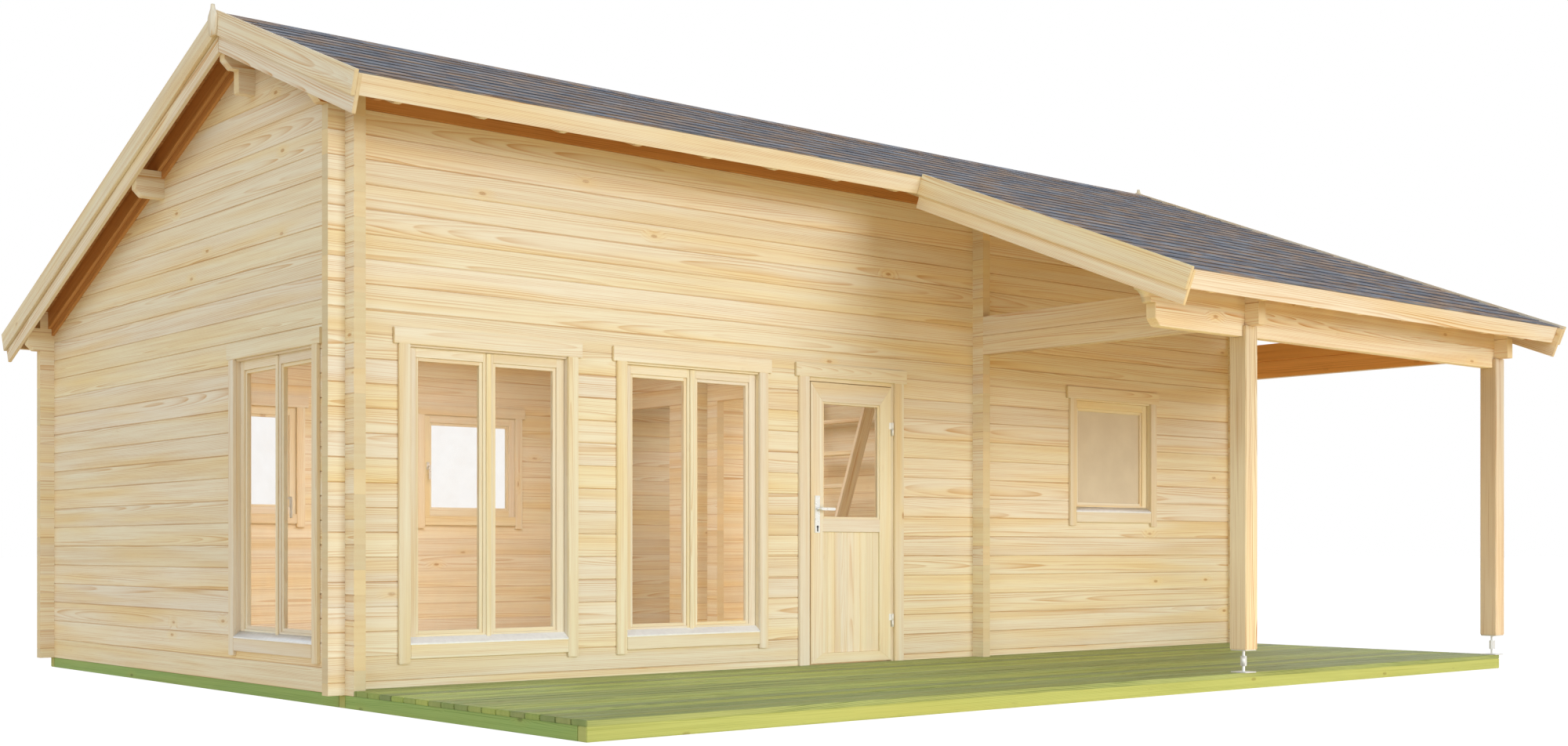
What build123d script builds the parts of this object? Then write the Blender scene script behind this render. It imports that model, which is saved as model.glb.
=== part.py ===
"""Log cabin with a covered terrace under one long roof slope.

Millimetres, +Z up, front towards -Y. The ridge stands over y = 0 and the house is centred on x = 0.
The long walls start with half a log and the gable walls with a whole one, so their logs interlock.
"""

import os
from math import atan, ceil, cos, sin

from build123d import *

os.makedirs("parts", exist_ok=True)

# Log walls
LOG_PITCH = 135.0
LOG_T = 70.0
LOG_END = 100.0
GROOVE = 5.0
LONG_PHASE_SHARE = 0.5
GABLE_PHASE_SHARE = 0.0
NOTCH_SHARE = 0.5
HOUSE_L = 7915.0
HOUSE_D = 4640.0
TERRACE_D = 2300.0
REAR_COURSES = 17.5
SPARE_COURSES = 3
TOP_OPENING_COURSE = 14.5
PURLIN_CHAMFER = 45.0

# Inner walls
PARTITION_FROM_LEFT = 4850.0
REAR_ROOM_D = 1575.0
CROSS_COURSES = 17.5
INNER_DOOR_COURSES = 15
FRONT_DOORWAY_TO_CROSS = 935.0
REAR_DOORWAY_TO_REAR = 1050.0
INNER_DOOR_W = 800.0

# Ground frame, floor and deck
BEAM_H = 70.0
BEAM_W = 70.0
CROSS_BEAMS = 12
FLOOR_T = 28.0
DECK_T = 28.0
DECK_BOARDS = 18
DECK_GAP = 6.0

# Roof
PITCH_TAN = 0.398
RAFTER_W = 45.0
RAFTER_H = 115.0
RAFTER_GAPS = 15
RAFTER_LEVEL_CUT = 80.0
BOARD_T = 20.0
SHINGLE_T = 8.0
EAVE_PAST = 294.0
MAIN_EAVE_PAST = 493.0
GABLE_PAST = 232.0
TERRACE_ROOF_FROM_LEFT = 3820.0
BARGE_T = 23.0
INNER_BARGE_H = 205.0
OUTER_BARGE_H = 135.0
OUTER_BARGE_RISE = 20.0
BARGE_PAST = 38.0
FASCIA_T = 20.0
FASCIA_H = 114.0
LATH_H = 45.0
LATH_T = 20.0
RIDGE_COURSE = 25.5
MID_PURLIN_COURSE = 22.5
MID_PURLIN_Y = 1332.0

# Ridge finial
FINIAL_T = 20.0
FINIAL_TOP = 29.0
FINIAL_DROP = 185.0
FINIAL_WIDE = 104.0
FINIAL_NECK = 24.0
FINIAL_TIP = 16.0
FINIAL_FOOT = 62.0
FINIAL_WIDE_DROP = 85.0
FINIAL_NECK_DROP = 48.0

# Terrace frame
POST_W = 120.0
POST_FOOT_H = 142.0
FOOT_PLATE_W = 110.0
FOOT_PLATE_T = 6.0
FOOT_ROD_R = 10.0
FOOT_NUT_R = 20.0
FOOT_NUT_H = 62.0
BEAM_COURSE = 15.5
SIDE_BEAM_COURSE = 16
FRONT_BEAM_LEFT_PAST = 868.0
FRONT_BEAM_STEP = 116.0
FRONT_BEAM_CURVE = 72.0

# Windows
JAMB_T = 35.0
CASING_HEAD = 52.0
CASING_SILL = 56.0
TALL_W = 1106.0
SMALL_W = 951.0
TALL_COURSE = 1.5
SMALL_COURSE = 7.5
STILE_W = 74.0
MEETING_W = 52.0
SASH_IN = 25.0
PANE_IN = 45.0
PANE_T = 8.0
TRIM_W = 70.0
TRIM_T = 20.0
TRIM_HEAD_H = 89.0
TRIM_HEAD_PAST = 30.0
TRIM_HEAD_LAP = 40.0
TRIM_BELOW = 48.0
TRIM_BOTTOM_BELOW = 20.0
SILL_H = 42.0
SILL_LIP = 8.0
FRONT_WINDOW_1 = 902.0
FRONT_WINDOW_2 = 2360.0
TERRACE_WINDOW = 6388.0
REAR_WINDOW_1 = 1441.0
REAR_WINDOW_2 = 3465.0
GABLE_WINDOW = 882.0

# Front door
DOOR_FROM_LEFT = 3684.0
LEAF_W = 724.0
LEAF_T = 45.0
LEAF_TOP = 1887.0
LEAF_BOTTOM = 36.0
LEAF_OUT = 5.0
DOOR_GAP = 6.0
DOOR_JAMB_T = 45.0
DOOR_STOP_W = 15.0
LEAF_STILE = 105.0
LEAF_MID_TOP = 989.0
LEAF_MID_BOTTOM = 903.0
LEAF_LOW_TOP = 101.0
LEAF_GLASS_TOP = 1761.0
LEAF_PANEL_T = 18.0
DOOR_TRIM_W = 86.0
DOOR_TRIM_INSET = 29.0
HINGE_R = 7.0
HINGE_H = 44.0
HINGE_GAP = 0.5
PIN_CLEAR = 0.3
HINGE_OUT = 13.0
HINGE_PLATE_T = 3.0
HINGE_PLATE_W = 24.0
HINGE_LOW = 260.0
HINGE_HIGH = 1560.0
PLATE_W = 42.0
PLATE_T = 8.0
PLATE_BOTTOM = 896.0
PLATE_TOP = 1140.0
LEVER_Z = 1052.0
LEVER_FROM_EDGE = 51.0
LEVER_OUT = 47.0
LEVER_R = 9.0
LEVER_L = 103.0
GRIP_T = 14.0
SPINDLE_R = 6.0
NECK_CLEAR = 0.5

# Ladder
LADDER_TO_DOORWAY = 505.0
LADDER_W = 640.0
LADDER_FOOT = 640.0
LADDER_TOP = 2025.0
LADDER_PLUMB = 120.0
STRING_W = 110.0
STRING_T = 30.0
TREAD_T = 30.0
TREAD_D = 100.0
TREADS = 7

# Planes shared by the pieces
X_L = -HOUSE_L / 2
X_R = HOUSE_L / 2
Y_R = (HOUSE_D + TERRACE_D) / 2
Y_T = -Y_R
Y_F = Y_R - HOUSE_D
X_P = X_L + PARTITION_FROM_LEFT
CROSS_FROM_FRONT = HOUSE_D - REAR_ROOM_D
INNER_DOOR_FRONT = CROSS_FROM_FRONT - FRONT_DOORWAY_TO_CROSS
INNER_DOOR_REAR = HOUSE_D - REAR_DOORWAY_TO_REAR
LADDER_FROM_FRONT = INNER_DOOR_FRONT - LADDER_TO_DOORWAY - LADDER_W
Y_C = Y_F + CROSS_FROM_FRONT
Z_W = BEAM_H
ANGLE = atan(PITCH_TAN)
C = cos(ANGLE)
S = sin(ANGLE)
Z_APEX = Z_W + REAR_COURSES * LOG_PITCH + Y_R * PITCH_TAN
S_LONG = Y_R / C + EAVE_PAST
S_MAIN = -Y_F / C + MAIN_EAVE_PAST
N_BOARD = RAFTER_H + BOARD_T
N_OUTER = N_BOARD + OUTER_BARGE_RISE
X_ROOF_L = X_L - GABLE_PAST + 2 * BARGE_T
X_ROOF_R = X_R + GABLE_PAST - 2 * BARGE_T
X_TERR = X_L + TERRACE_ROOF_FROM_LEFT
X_TERR_IN = X_TERR + 2 * BARGE_T
Z_TALL = Z_W + TALL_COURSE * LOG_PITCH
Z_SMALL = Z_W + SMALL_COURSE * LOG_PITCH
Z_HEAD = Z_W + TOP_OPENING_COURSE * LOG_PITCH
Z_FLOOR = Z_W + FLOOR_T
Z_FRONT = Z_APEX + Y_F * PITCH_TAN
Z_REAR = Z_W + REAR_COURSES * LOG_PITCH
REAR = 1
FRONT = -1
NEAR = "near"
FAR = "far"
BOTH = (NEAR, FAR)


def course(count):
    """Height of the top of that many log courses."""
    return Z_W + count * LOG_PITCH


def block(x0, x1, y0, y1, z0, z1):
    """A straight piece between two corners."""
    return Pos((x0 + x1) / 2, (y0 + y1) / 2, (z0 + z1) / 2) * Box(x1 - x0, y1 - y0, z1 - z0)


def prism(points, x0, x1):
    """A YZ outline run along X."""
    outline = Polyline(*[(x0, y, z) for y, z in points], close=True)
    return extrude(make_face(outline), amount=x1 - x0, dir=(1, 0, 0))


def profile_y(points, y0, y1):
    """An XZ outline run along Y."""
    outline = Polyline(*[(x, y0, z) for x, z in points], close=True)
    return extrude(make_face(outline), amount=y1 - y0, dir=(0, 1, 0))


def joints(z_lo, z_hi, phase):
    """Heights of the joints between logs from z_lo to z_hi."""
    count = int((z_hi - Z_W) / LOG_PITCH) + 2
    rows = [course(k + phase) for k in range(count)]
    return [z for z in rows if z_lo - LOG_PITCH * NOTCH_SHARE < z < z_hi + LOG_PITCH * NOTCH_SHARE]


def log_outline(z_lo, z_hi, phase, grooved):
    """Section of stacked logs: V joints on the near face, the far face or both."""
    plain = [(0, z_lo), (0, z_hi)]
    face = [(0, z_lo)]
    for z in joints(z_lo, z_hi, phase):
        if z_lo + GROOVE < z < z_hi - GROOVE:
            face += [(0, z - GROOVE), (GROOVE, z), (0, z + GROOVE)]
    face.append((0, z_hi))
    near = face if NEAR in grooved else plain
    far = face if FAR in grooved else plain
    return near + [(LOG_T - depth, z) for depth, z in reversed(far)]


def logs_x(x0, x1, y0, z_lo, z_hi, grooved):
    """Stacked logs along X, near face on y0."""
    outline = log_outline(z_lo, z_hi, LONG_PHASE_SHARE, grooved)
    return prism([(y0 + depth, z) for depth, z in outline], x0, x1)


def logs_y(y0, y1, x0, z_lo, z_hi, grooved):
    """Stacked logs along Y, near face on x0."""
    outline = log_outline(z_lo, z_hi, GABLE_PHASE_SHARE, grooved)
    return profile_y([(x0 + depth, z) for depth, z in outline], y0, y1)


def crossing_top(z_limit):
    """Height above which only the gable wall's log runs through a crossing under z_limit."""
    return course(ceil((z_limit - Z_W) / LOG_PITCH) - 1)


def saddles(x0, y0, z_lo, z_hi, phase, z_top):
    """Notches in the upper half of each log, for the logs that cross it, up to z_top."""
    spans = [(max(z - LOG_PITCH * NOTCH_SHARE, z_lo), min(z, z_hi)) for z in joints(z_lo, z_hi, phase)]
    spans = [(low, high) for low, high in spans if low < high and low < z_top]
    return [block(x0, x0 + LOG_T, y0, y0 + LOG_T, low, high) for low, high in spans]


def long_notches(x0, y0, z_lo, z_hi, z_limit):
    """Notches of the logs along X where another wall crosses."""
    top = crossing_top(z_limit)
    cuts = saddles(x0, y0, z_lo, z_hi, LONG_PHASE_SHARE, top)
    if top < z_hi:
        cuts.append(block(x0, x0 + LOG_T, y0, y0 + LOG_T, max(top, z_lo), z_hi))
    return cuts


def gable_notches(x0, y0, z_lo, z_hi, z_limit):
    """Notches of the logs along Y where another wall crosses."""
    return saddles(x0, y0, z_lo, z_hi, GABLE_PHASE_SHARE, crossing_top(z_limit))


def at(side, s, n):
    """Point on a roof slope: s down the slope from the ridge, n square to it."""
    return (side * (s * C + n * S), Z_APEX - s * S + n * C)


def slope_piece(side, x0, x1, s0, s1, n0, n1):
    """A board lying in a slope with square ends."""
    return prism([at(side, s0, n0), at(side, s1, n0), at(side, s1, n1), at(side, s0, n1)], x0, x1)


def ridge_piece(side, x0, x1, s1, n0, n1):
    """A board lying in a slope, plumb cut at the ridge."""
    top = [(0, Z_APEX + n0 / C), at(side, s1, n0), at(side, s1, n1), (0, Z_APEX + n1 / C)]
    return prism(top, x0, x1)


def above_roof(n):
    """All the room above a plane of both slopes."""
    far = Y_R + TERRACE_D
    low = Z_APEX + n / C - far * PITCH_TAN
    high = Z_APEX + TERRACE_D
    points = [(0, Z_APEX + n / C), (far, low), (far, high), (-far, high), (-far, low)]
    return prism(points, X_L - TERRACE_D, X_R + TERRACE_D)


def purlin(y0, z0, x0, x1):
    """A roof log with chamfered lower ends, its top cut to the slopes."""
    z1 = Z_APEX
    points = [(x0, z0 + PURLIN_CHAMFER), (x0 + PURLIN_CHAMFER, z0), (x1 - PURLIN_CHAMFER, z0)]
    points += [(x1, z0 + PURLIN_CHAMFER), (x1, z1), (x0, z1)]
    return profile_y(points, y0, y0 + LOG_T) - above_roof(0)


def joined(pieces):
    """Separate pieces kept in one group."""
    return Compound(children=[solid for piece in pieces for solid in piece.solids()])


PARTS = {}


def keep(name, piece):
    """Store one named piece or group."""
    solids = piece.solids()
    PARTS[name] = solids[0] if len(solids) == 1 else Compound(children=list(solids))


# Windows and door: openings first, in wall positions
def in_front(shape, x):
    return Pos(X_L + x, Y_F, 0) * shape


def in_rear(shape, x):
    return Pos(X_L + x, Y_R, 0) * Rot(0, 0, 180) * shape


def in_gable(shape, y):
    return Pos(X_L, Y_F + y, 0) * Rot(0, 0, -90) * shape


def ring(half, d0, d1, z0, z1, side, low, high):
    """A frame in its wall's own frame, with its clear opening cut through."""
    outer = block(-half, half, d0, d1, z0, z1)
    return outer - block(-half + side, half - side, d0, d1, z0 + low, z1 - high)


def sash(u0, u1, left, right, z0, z1):
    """One sash frame and its pane."""
    frame = block(u0, u1, SASH_IN, LOG_T, z0, z1)
    frame = frame - block(u0 + left, u1 - right, SASH_IN, LOG_T, z0 + STILE_W, z1 - STILE_W)
    back = PANE_IN + PANE_T
    pane = block(u0 + left, u1 - right, PANE_IN, back, z0 + STILE_W, z1 - STILE_W)
    return frame, pane


def window(width, z0, double):
    """All pieces of one window in its wall's frame."""
    half = width / 2
    clear = half - JAMB_T
    low = z0 + CASING_SILL
    high = Z_HEAD - CASING_HEAD
    out = {"window_casings": [ring(half, 0, LOG_T, z0, Z_HEAD, JAMB_T, CASING_SILL, CASING_HEAD)]}
    if double:
        leaves = [sash(-clear, 0, STILE_W, MEETING_W, low, high)]
        leaves.append(sash(0, clear, MEETING_W, STILE_W, low, high))
    else:
        leaves = [sash(-clear, clear, STILE_W, STILE_W, low, high)]
    frames = [leaf[0] for leaf in leaves]
    whole = frames[0]
    for frame in frames[1:]:
        whole = whole + frame
    out["window_sashes"] = [whole]
    out["window_panes"] = [leaf[1] for leaf in leaves]
    slope = [(SASH_IN, low), (SASH_IN, low + SILL_H), (-TRIM_T, low + SILL_LIP), (-TRIM_T, low)]
    out["window_sills"] = [prism(slope, -clear, clear)]
    lap = Z_HEAD - TRIM_HEAD_LAP
    wide = clear + TRIM_W
    for d0, d1 in ((-TRIM_T, 0), (LOG_T, LOG_T + TRIM_T)):
        side = block(clear, wide, d0, d1, z0 - TRIM_BELOW, lap)
        out.setdefault("trim_sides", []).append(side)
        out["trim_sides"].append(mirror(side, about=Plane.YZ))
        past = wide + TRIM_HEAD_PAST
        head = block(-past, past, d0, d1, lap, lap + TRIM_HEAD_H)
        out.setdefault("trim_heads", []).append(head)
        foot = block(-clear, clear, d0, d1, z0 - TRIM_BOTTOM_BELOW, low)
        out.setdefault("trim_bottoms", []).append(foot)
    return out


WINDOWS = [
    (in_front, FRONT_WINDOW_1, TALL_W, Z_TALL, True),
    (in_front, FRONT_WINDOW_2, TALL_W, Z_TALL, True),
    (in_front, TERRACE_WINDOW, SMALL_W, Z_SMALL, False),
    (in_rear, REAR_WINDOW_1, SMALL_W, Z_SMALL, False),
    (in_rear, REAR_WINDOW_2, SMALL_W, Z_SMALL, False),
    (in_gable, GABLE_WINDOW, TALL_W, Z_TALL, True),
]


def opening(width, z0):
    """Hole for a window, through a wall."""
    return block(-width / 2, width / 2, -LOG_T, LOG_T + LOG_T, z0, Z_HEAD)


HOLES = {in_front: [], in_rear: [], in_gable: []}
joinery = {}
for place, where, width, z0, double in WINDOWS:
    HOLES[place].append(place(opening(width, z0), where))
    for name, pieces in window(width, z0, double).items():
        joinery.setdefault(name, []).extend(place(piece, where) for piece in pieces)

# Roof timbers
ridge_low = course(RIDGE_COURSE)
ridge_high = course(RIDGE_COURSE + 1)
ridge_top = purlin(-LOG_T / 2, ridge_high, X_ROOF_L, X_ROOF_R)
ridge_under = block(X_L - LOG_END, X_R + LOG_END, -LOG_T / 2, LOG_T / 2, ridge_low, ridge_high)
ridge_beam = ridge_top + ridge_under
keep("ridge_beam", ridge_beam)
mid_purlin = purlin(MID_PURLIN_Y, course(MID_PURLIN_COURSE), X_ROOF_L, X_ROOF_R)
keep("mid_purlin", mid_purlin)


def rafter(side, x, s1):
    """One rafter from the ridge to an eave, its tail cut level."""
    tail = s1 - RAFTER_LEVEL_CUT * C
    up = RAFTER_LEVEL_CUT * S
    points = [(0, Z_APEX), at(side, tail, 0), at(side, s1, up), at(side, s1, RAFTER_H)]
    points.append((0, Z_APEX + RAFTER_H / C))
    return prism(points, x, x + RAFTER_W)


first = X_L + LOG_T
last = X_R - LOG_T - RAFTER_W
rows = [first + (last - first) * k / RAFTER_GAPS for k in range(RAFTER_GAPS + 1)]
rows = [X_L - RAFTER_W] + rows + [X_R]
front_rows = [(x, S_LONG if x > X_TERR_IN else S_MAIN) for x in rows] + [(X_TERR_IN, S_LONG)]
rafters_front = [rafter(FRONT, x, s1) for x, s1 in front_rows]
rafters_rear = [rafter(REAR, x, S_LONG) for x in rows]
keep("rafters_front", joined(rafters_front))
keep("rafters_rear", joined(rafters_rear))

# Long walls
roof_room = above_roof(RAFTER_H)
TOP = course(REAR_COURSES + SPARE_COURSES)
FRONT_TOP = Z_APEX
X_0 = X_L - LOG_END
X_1 = X_R + LOG_END


def eave_ends(y0, z0):
    """Top log's ends, run out under the gable boards."""
    return purlin(y0, z0, X_ROOF_L, X_ROOF_R)


def long_wall(y0, z_lo, z_hi, x0, x1, crossings, z_limit, top_log, grooved):
    """Logs along X with their notches; top_log is the height of the log run out under the roof edge."""
    wall = logs_x(x0, x1, y0, z_lo, z_hi, grooved)
    cuts = []
    for x in crossings:
        cuts += long_notches(x, y0, z_lo, z_hi, z_limit)
    wall = wall - cuts
    if top_log:
        ends = eave_ends(y0, top_log)
        ends = ends - block(X_0, X_1, y0, y0 + LOG_T, top_log, Z_APEX)
        wall = wall + ends
    return wall


left_jamb = X_L + DOOR_FROM_LEFT - LEAF_W / 2 - DOOR_GAP - DOOR_JAMB_T
right_jamb = X_L + DOOR_FROM_LEFT + LEAF_W / 2 + DOOR_GAP + DOOR_JAMB_T
front_low = long_wall(Y_F, Z_W, Z_HEAD, X_0, left_jamb, [X_L], Z_FRONT, 0, [NEAR])
keep("front_wall_left", front_low - HOLES[in_front][:2])
front_low = long_wall(Y_F, Z_W, Z_HEAD, right_jamb, X_1, [X_P, X_R - LOG_T], Z_FRONT, 0, [NEAR])
keep("front_wall_right", front_low - HOLES[in_front][2:])
front_top_log = course(int((Z_FRONT - Z_W) / LOG_PITCH) - LONG_PHASE_SHARE)
cross_rows = [X_L, X_P, X_R - LOG_T]
front_high = long_wall(Y_F, Z_HEAD, FRONT_TOP, X_0, X_1, cross_rows, Z_FRONT, front_top_log, [NEAR])
front_high = front_high - [roof_room] - rafters_front
keep("front_wall_upper", front_high)
rear_top_log = course(REAR_COURSES - 1)
rear = long_wall(Y_R - LOG_T, Z_W, TOP, X_0, X_1, cross_rows, Z_REAR, rear_top_log, [FAR])
rear = rear - [roof_room] - rafters_rear - HOLES[in_rear]
keep("rear_wall", rear)

# Gable walls
GABLE_TOP = Z_APEX + RAFTER_H / C
Y_0 = Y_F - LOG_END
Y_1 = Y_R + LOG_END


def gable_wall(x0, y0, y1, z_lo, z_hi, rows, grooved):
    """Logs along Y with their notches."""
    wall = logs_y(y0, y1, x0, z_lo, z_hi, grooved)
    cuts = []
    for y, z_limit in rows:
        cuts += gable_notches(x0, y, z_lo, z_hi, z_limit)
    return wall - cuts


corner_rows = [(Y_F, Z_FRONT), (Y_R - LOG_T, Z_REAR)]
cross_row = [(Y_C, course(CROSS_COURSES))]
roof_logs = [roof_room, ridge_beam, mid_purlin]
left = gable_wall(X_L, Y_0, Y_1, Z_W, GABLE_TOP, corner_rows, [NEAR]) - roof_logs - HOLES[in_gable]
keep("gable_wall_left", left)
right = gable_wall(X_R - LOG_T, Y_0, Y_1, Z_W, GABLE_TOP, corner_rows, [FAR]) - roof_logs
keep("gable_wall_right", right)

# Partition and cross wall, with plain faces
door_top = course(INNER_DOOR_COURSES)
pier_rows = [
    (Y_0, Y_F + INNER_DOOR_FRONT),
    (Y_F + INNER_DOOR_FRONT + INNER_DOOR_W, Y_F + INNER_DOOR_REAR),
    (Y_F + INNER_DOOR_REAR + INNER_DOOR_W, Y_1),
]
inner_rows = corner_rows + cross_row
piers = []
for y0, y1 in pier_rows:
    crossing = [row for row in inner_rows if y0 < row[0] < y1]
    piers.append(gable_wall(X_P, y0, y1, Z_W, door_top, crossing, []))
keep("partition_piers", joined(piers))
over = gable_wall(X_P, Y_0, Y_1, door_top, GABLE_TOP, inner_rows, []) - roof_logs
keep("partition_upper", over)
cross = logs_x(X_P - LOG_END, X_R - LOG_T, Y_C, Z_W, course(CROSS_COURSES), [])
z_cross = course(CROSS_COURSES)
keep("cross_wall", cross - long_notches(X_P, Y_C, Z_W, z_cross, z_cross))

# Ground frame
long_rows = [(Y_F, Y_F + BEAM_W), (Y_R - BEAM_W, Y_R), (Y_T, Y_T + BEAM_W)]
keep("ground_long_beams", joined([block(X_L, X_R, y0, y1, 0, BEAM_H) for y0, y1 in long_rows]))
step = (HOUSE_L - BEAM_W) / CROSS_BEAMS
beam_rows = [X_L + step * k for k in range(CROSS_BEAMS + 1)]
cross_beams = []
for x in beam_rows:
    cross_beams.append(block(x, x + BEAM_W, Y_F + BEAM_W, Y_R - BEAM_W, 0, BEAM_H))
    cross_beams.append(block(x, x + BEAM_W, Y_T + BEAM_W, Y_F, 0, BEAM_H))
keep("ground_cross_beams", joined(cross_beams))

# Deck boards, cut round the log ends
board = (TERRACE_D - DECK_GAP * (DECK_BOARDS - 1)) / DECK_BOARDS
log_ends = [block(x, x + LOG_T, Y_0, Y_F, Z_W, Z_W + LOG_PITCH) for x in (X_L, X_P, X_R - LOG_T)]
boards = []
for k in range(DECK_BOARDS):
    y0 = Y_T + k * (board + DECK_GAP)
    boards.append(block(X_L, X_R, y0, y0 + board, Z_W, Z_W + DECK_T) - log_ends)
keep("deck_boards", joined(boards))

# Floor inside the walls
room = block(X_L + LOG_T, X_R - LOG_T, Y_F + LOG_T, Y_R - LOG_T, Z_W, Z_FLOOR)
inner_walls = [block(X_P, X_P + LOG_T, y0, y1, Z_W, Z_FLOOR) for y0, y1 in pier_rows]
inner_walls.append(block(X_P - LOG_END, X_R - LOG_T, Y_C, Y_C + LOG_T, Z_W, Z_FLOOR))
keep("floor", room - inner_walls)

# Terrace beams and posts
side_low = course(SIDE_BEAM_COURSE)
side_high = course(SIDE_BEAM_COURSE + 2)
slopes = above_roof(0)
side_beams = []
for x in (X_P, X_R - LOG_T):
    beam = gable_wall(x, Y_T - LOG_END, Y_0, side_low, side_high, [(Y_T, Z_REAR)], BOTH) - slopes
    side_beams.append(beam)
keep("terrace_side_beams", joined(side_beams))
beam_x0 = X_P - FRONT_BEAM_LEFT_PAST
beam_x1 = X_R + (POST_W - LOG_T) / 2
z0 = course(BEAM_COURSE)
z1 = course(BEAM_COURSE + 1)
z2 = course(BEAM_COURSE + 2)
lower = [(beam_x0, z0 + PURLIN_CHAMFER), (beam_x0 + PURLIN_CHAMFER, z0), (beam_x1, z0), (beam_x1, z1)]
lower.append((beam_x0, z1))
lower = profile_y(lower, Y_T, Y_T + LOG_T)
upper_x0 = X_TERR_IN
upper = block(upper_x0, beam_x1, Y_T, Y_T + LOG_T, z1, z2 + LOG_PITCH) - slopes
scoop = Cylinder(FRONT_BEAM_CURVE, LOG_T + LOG_T, rotation=(90, 0, 0))
upper = upper - Pos(upper_x0, Y_T + LOG_T / 2, z1) * scoop
cuts = []
for x in (X_P, X_R - LOG_T):
    cuts += long_notches(x, Y_T, z0, z2 + LOG_PITCH, Z_REAR)
keep("terrace_beam_lower", lower - cuts)
keep("terrace_beam_upper", upper - cuts)
z_deck = Z_W + DECK_T
z_post = z_deck + POST_FOOT_H
posts = []
feet = []
for x in (X_P + LOG_T / 2, X_R - LOG_T / 2):
    y = Y_T + LOG_T / 2
    half = POST_W / 2
    post = block(x - half, x + half, y - half, y + half, z_post, side_low)
    slot = block(x - half, x + half, Y_T, Y_T + LOG_T, z0, side_low)
    posts.append(post - slot)
    wide = FOOT_PLATE_W / 2
    plate = block(x - wide, x + wide, y - wide, y + wide, z_deck, z_deck + FOOT_PLATE_T)
    cap = block(x - wide, x + wide, y - wide, y + wide, z_post - FOOT_PLATE_T, z_post)
    rod = Pos(x, y, z_deck) * extrude(RegularPolygon(FOOT_ROD_R, 8), amount=POST_FOOT_H)
    nut = extrude(RegularPolygon(FOOT_NUT_R, 6), amount=FOOT_NUT_H)
    nut = Pos(x, y, (z_deck + z_post - FOOT_NUT_H) / 2) * nut
    feet.append(plate + cap + rod + nut)
keep("posts", joined(posts))
keep("post_feet", joined(feet))

# Roof covering
keep("roof_boards_rear", ridge_piece(REAR, X_ROOF_L, X_ROOF_R, S_LONG, RAFTER_H, N_BOARD))
keep("roof_boards_front", ridge_piece(FRONT, X_ROOF_L, X_ROOF_R, S_MAIN, RAFTER_H, N_BOARD))
keep("roof_boards_terrace", slope_piece(FRONT, X_TERR_IN, X_ROOF_R, S_MAIN, S_LONG, RAFTER_H, N_BOARD))
n_top = N_BOARD + SHINGLE_T
skin_l = X_ROOF_L - BARGE_T
skin_r = X_ROOF_R + BARGE_T
keep("shingles_rear", ridge_piece(REAR, skin_l, skin_r, S_LONG + FASCIA_T, N_BOARD, n_top))
skin = ridge_piece(FRONT, skin_l, skin_r, S_MAIN + FASCIA_T, N_BOARD, n_top)
low = slope_piece(FRONT, X_TERR + BARGE_T, skin_r, S_MAIN, S_LONG + FASCIA_T, N_BOARD, n_top)
keep("shingles_front", skin + low)

# Gable boards in two layers, eave boards
inner_n = N_BOARD - INNER_BARGE_H
outer_n = N_OUTER - OUTER_BARGE_H
s_main = S_MAIN + FASCIA_T
s_main_end = s_main + BARGE_PAST
s_end = S_LONG + FASCIA_T + BARGE_PAST
layers = (
    ("inner", X_ROOF_L - BARGE_T, X_ROOF_R, X_TERR + BARGE_T, inner_n, N_BOARD),
    ("outer", X_ROOF_L - 2 * BARGE_T, X_ROOF_R + BARGE_T, X_TERR, outer_n, N_OUTER),
)
for layer, x_left, x_right, x_terr, n0, n1 in layers:
    rear_pair = [ridge_piece(REAR, x, x + BARGE_T, s_end, n0, n1) for x in (x_left, x_right)]
    keep(layer + "_gable_boards_rear", joined(rear_pair))
    front_set = [ridge_piece(FRONT, x_left, x_left + BARGE_T, s_main_end, n0, n1)]
    front_set.append(ridge_piece(FRONT, x_right, x_right + BARGE_T, s_end, n0, n1))
    front_set.append(slope_piece(FRONT, x_terr, x_terr + BARGE_T, s_main, s_end, n0, n1))
    keep(layer + "_gable_boards_front", joined(front_set))
n0 = N_BOARD - FASCIA_H
eaves = [slope_piece(REAR, X_ROOF_L, X_ROOF_R, S_LONG, S_LONG + FASCIA_T, n0, N_BOARD)]
eaves.append(slope_piece(FRONT, X_ROOF_L, X_TERR_IN, S_MAIN, S_MAIN + FASCIA_T, n0, N_BOARD))
eaves.append(slope_piece(FRONT, X_TERR_IN, X_ROOF_R, S_LONG, S_LONG + FASCIA_T, n0, N_BOARD))
keep("eave_boards", joined(eaves))

# Laths under the roof edge on the gable walls
laths = []
for x in (X_L - LATH_T, X_R):
    for side, y_wall in ((REAR, Y_R - LOG_T), (FRONT, -Y_F - LOG_T)):
        y_ridge = LOG_T / 2
        drop = LATH_H / C
        strip = [(y_ridge, Z_APEX - y_ridge * PITCH_TAN), (y_wall, Z_APEX - y_wall * PITCH_TAN)]
        strip += [(y, z - drop) for y, z in reversed(strip)]
        laths.append(prism([(side * y, z) for y, z in strip], x, x + LATH_T) - mid_purlin)
keep("gable_laths", joined(laths))

# Ridge finials
z_tip = Z_APEX + N_OUTER / C + FINIAL_TOP
z_wide = z_tip - FINIAL_WIDE_DROP
z_neck = z_tip - FINIAL_NECK_DROP
z_foot = z_tip - FINIAL_DROP
curve = [(FINIAL_TIP, z_tip), (FINIAL_NECK, z_neck), (FINIAL_WIDE, z_neck), (FINIAL_WIDE, z_wide)]
sweep = [(FINIAL_WIDE, z_wide), (FINIAL_WIDE, (z_wide + z_foot) / 2), (FINIAL_FOOT, z_foot)]


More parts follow.
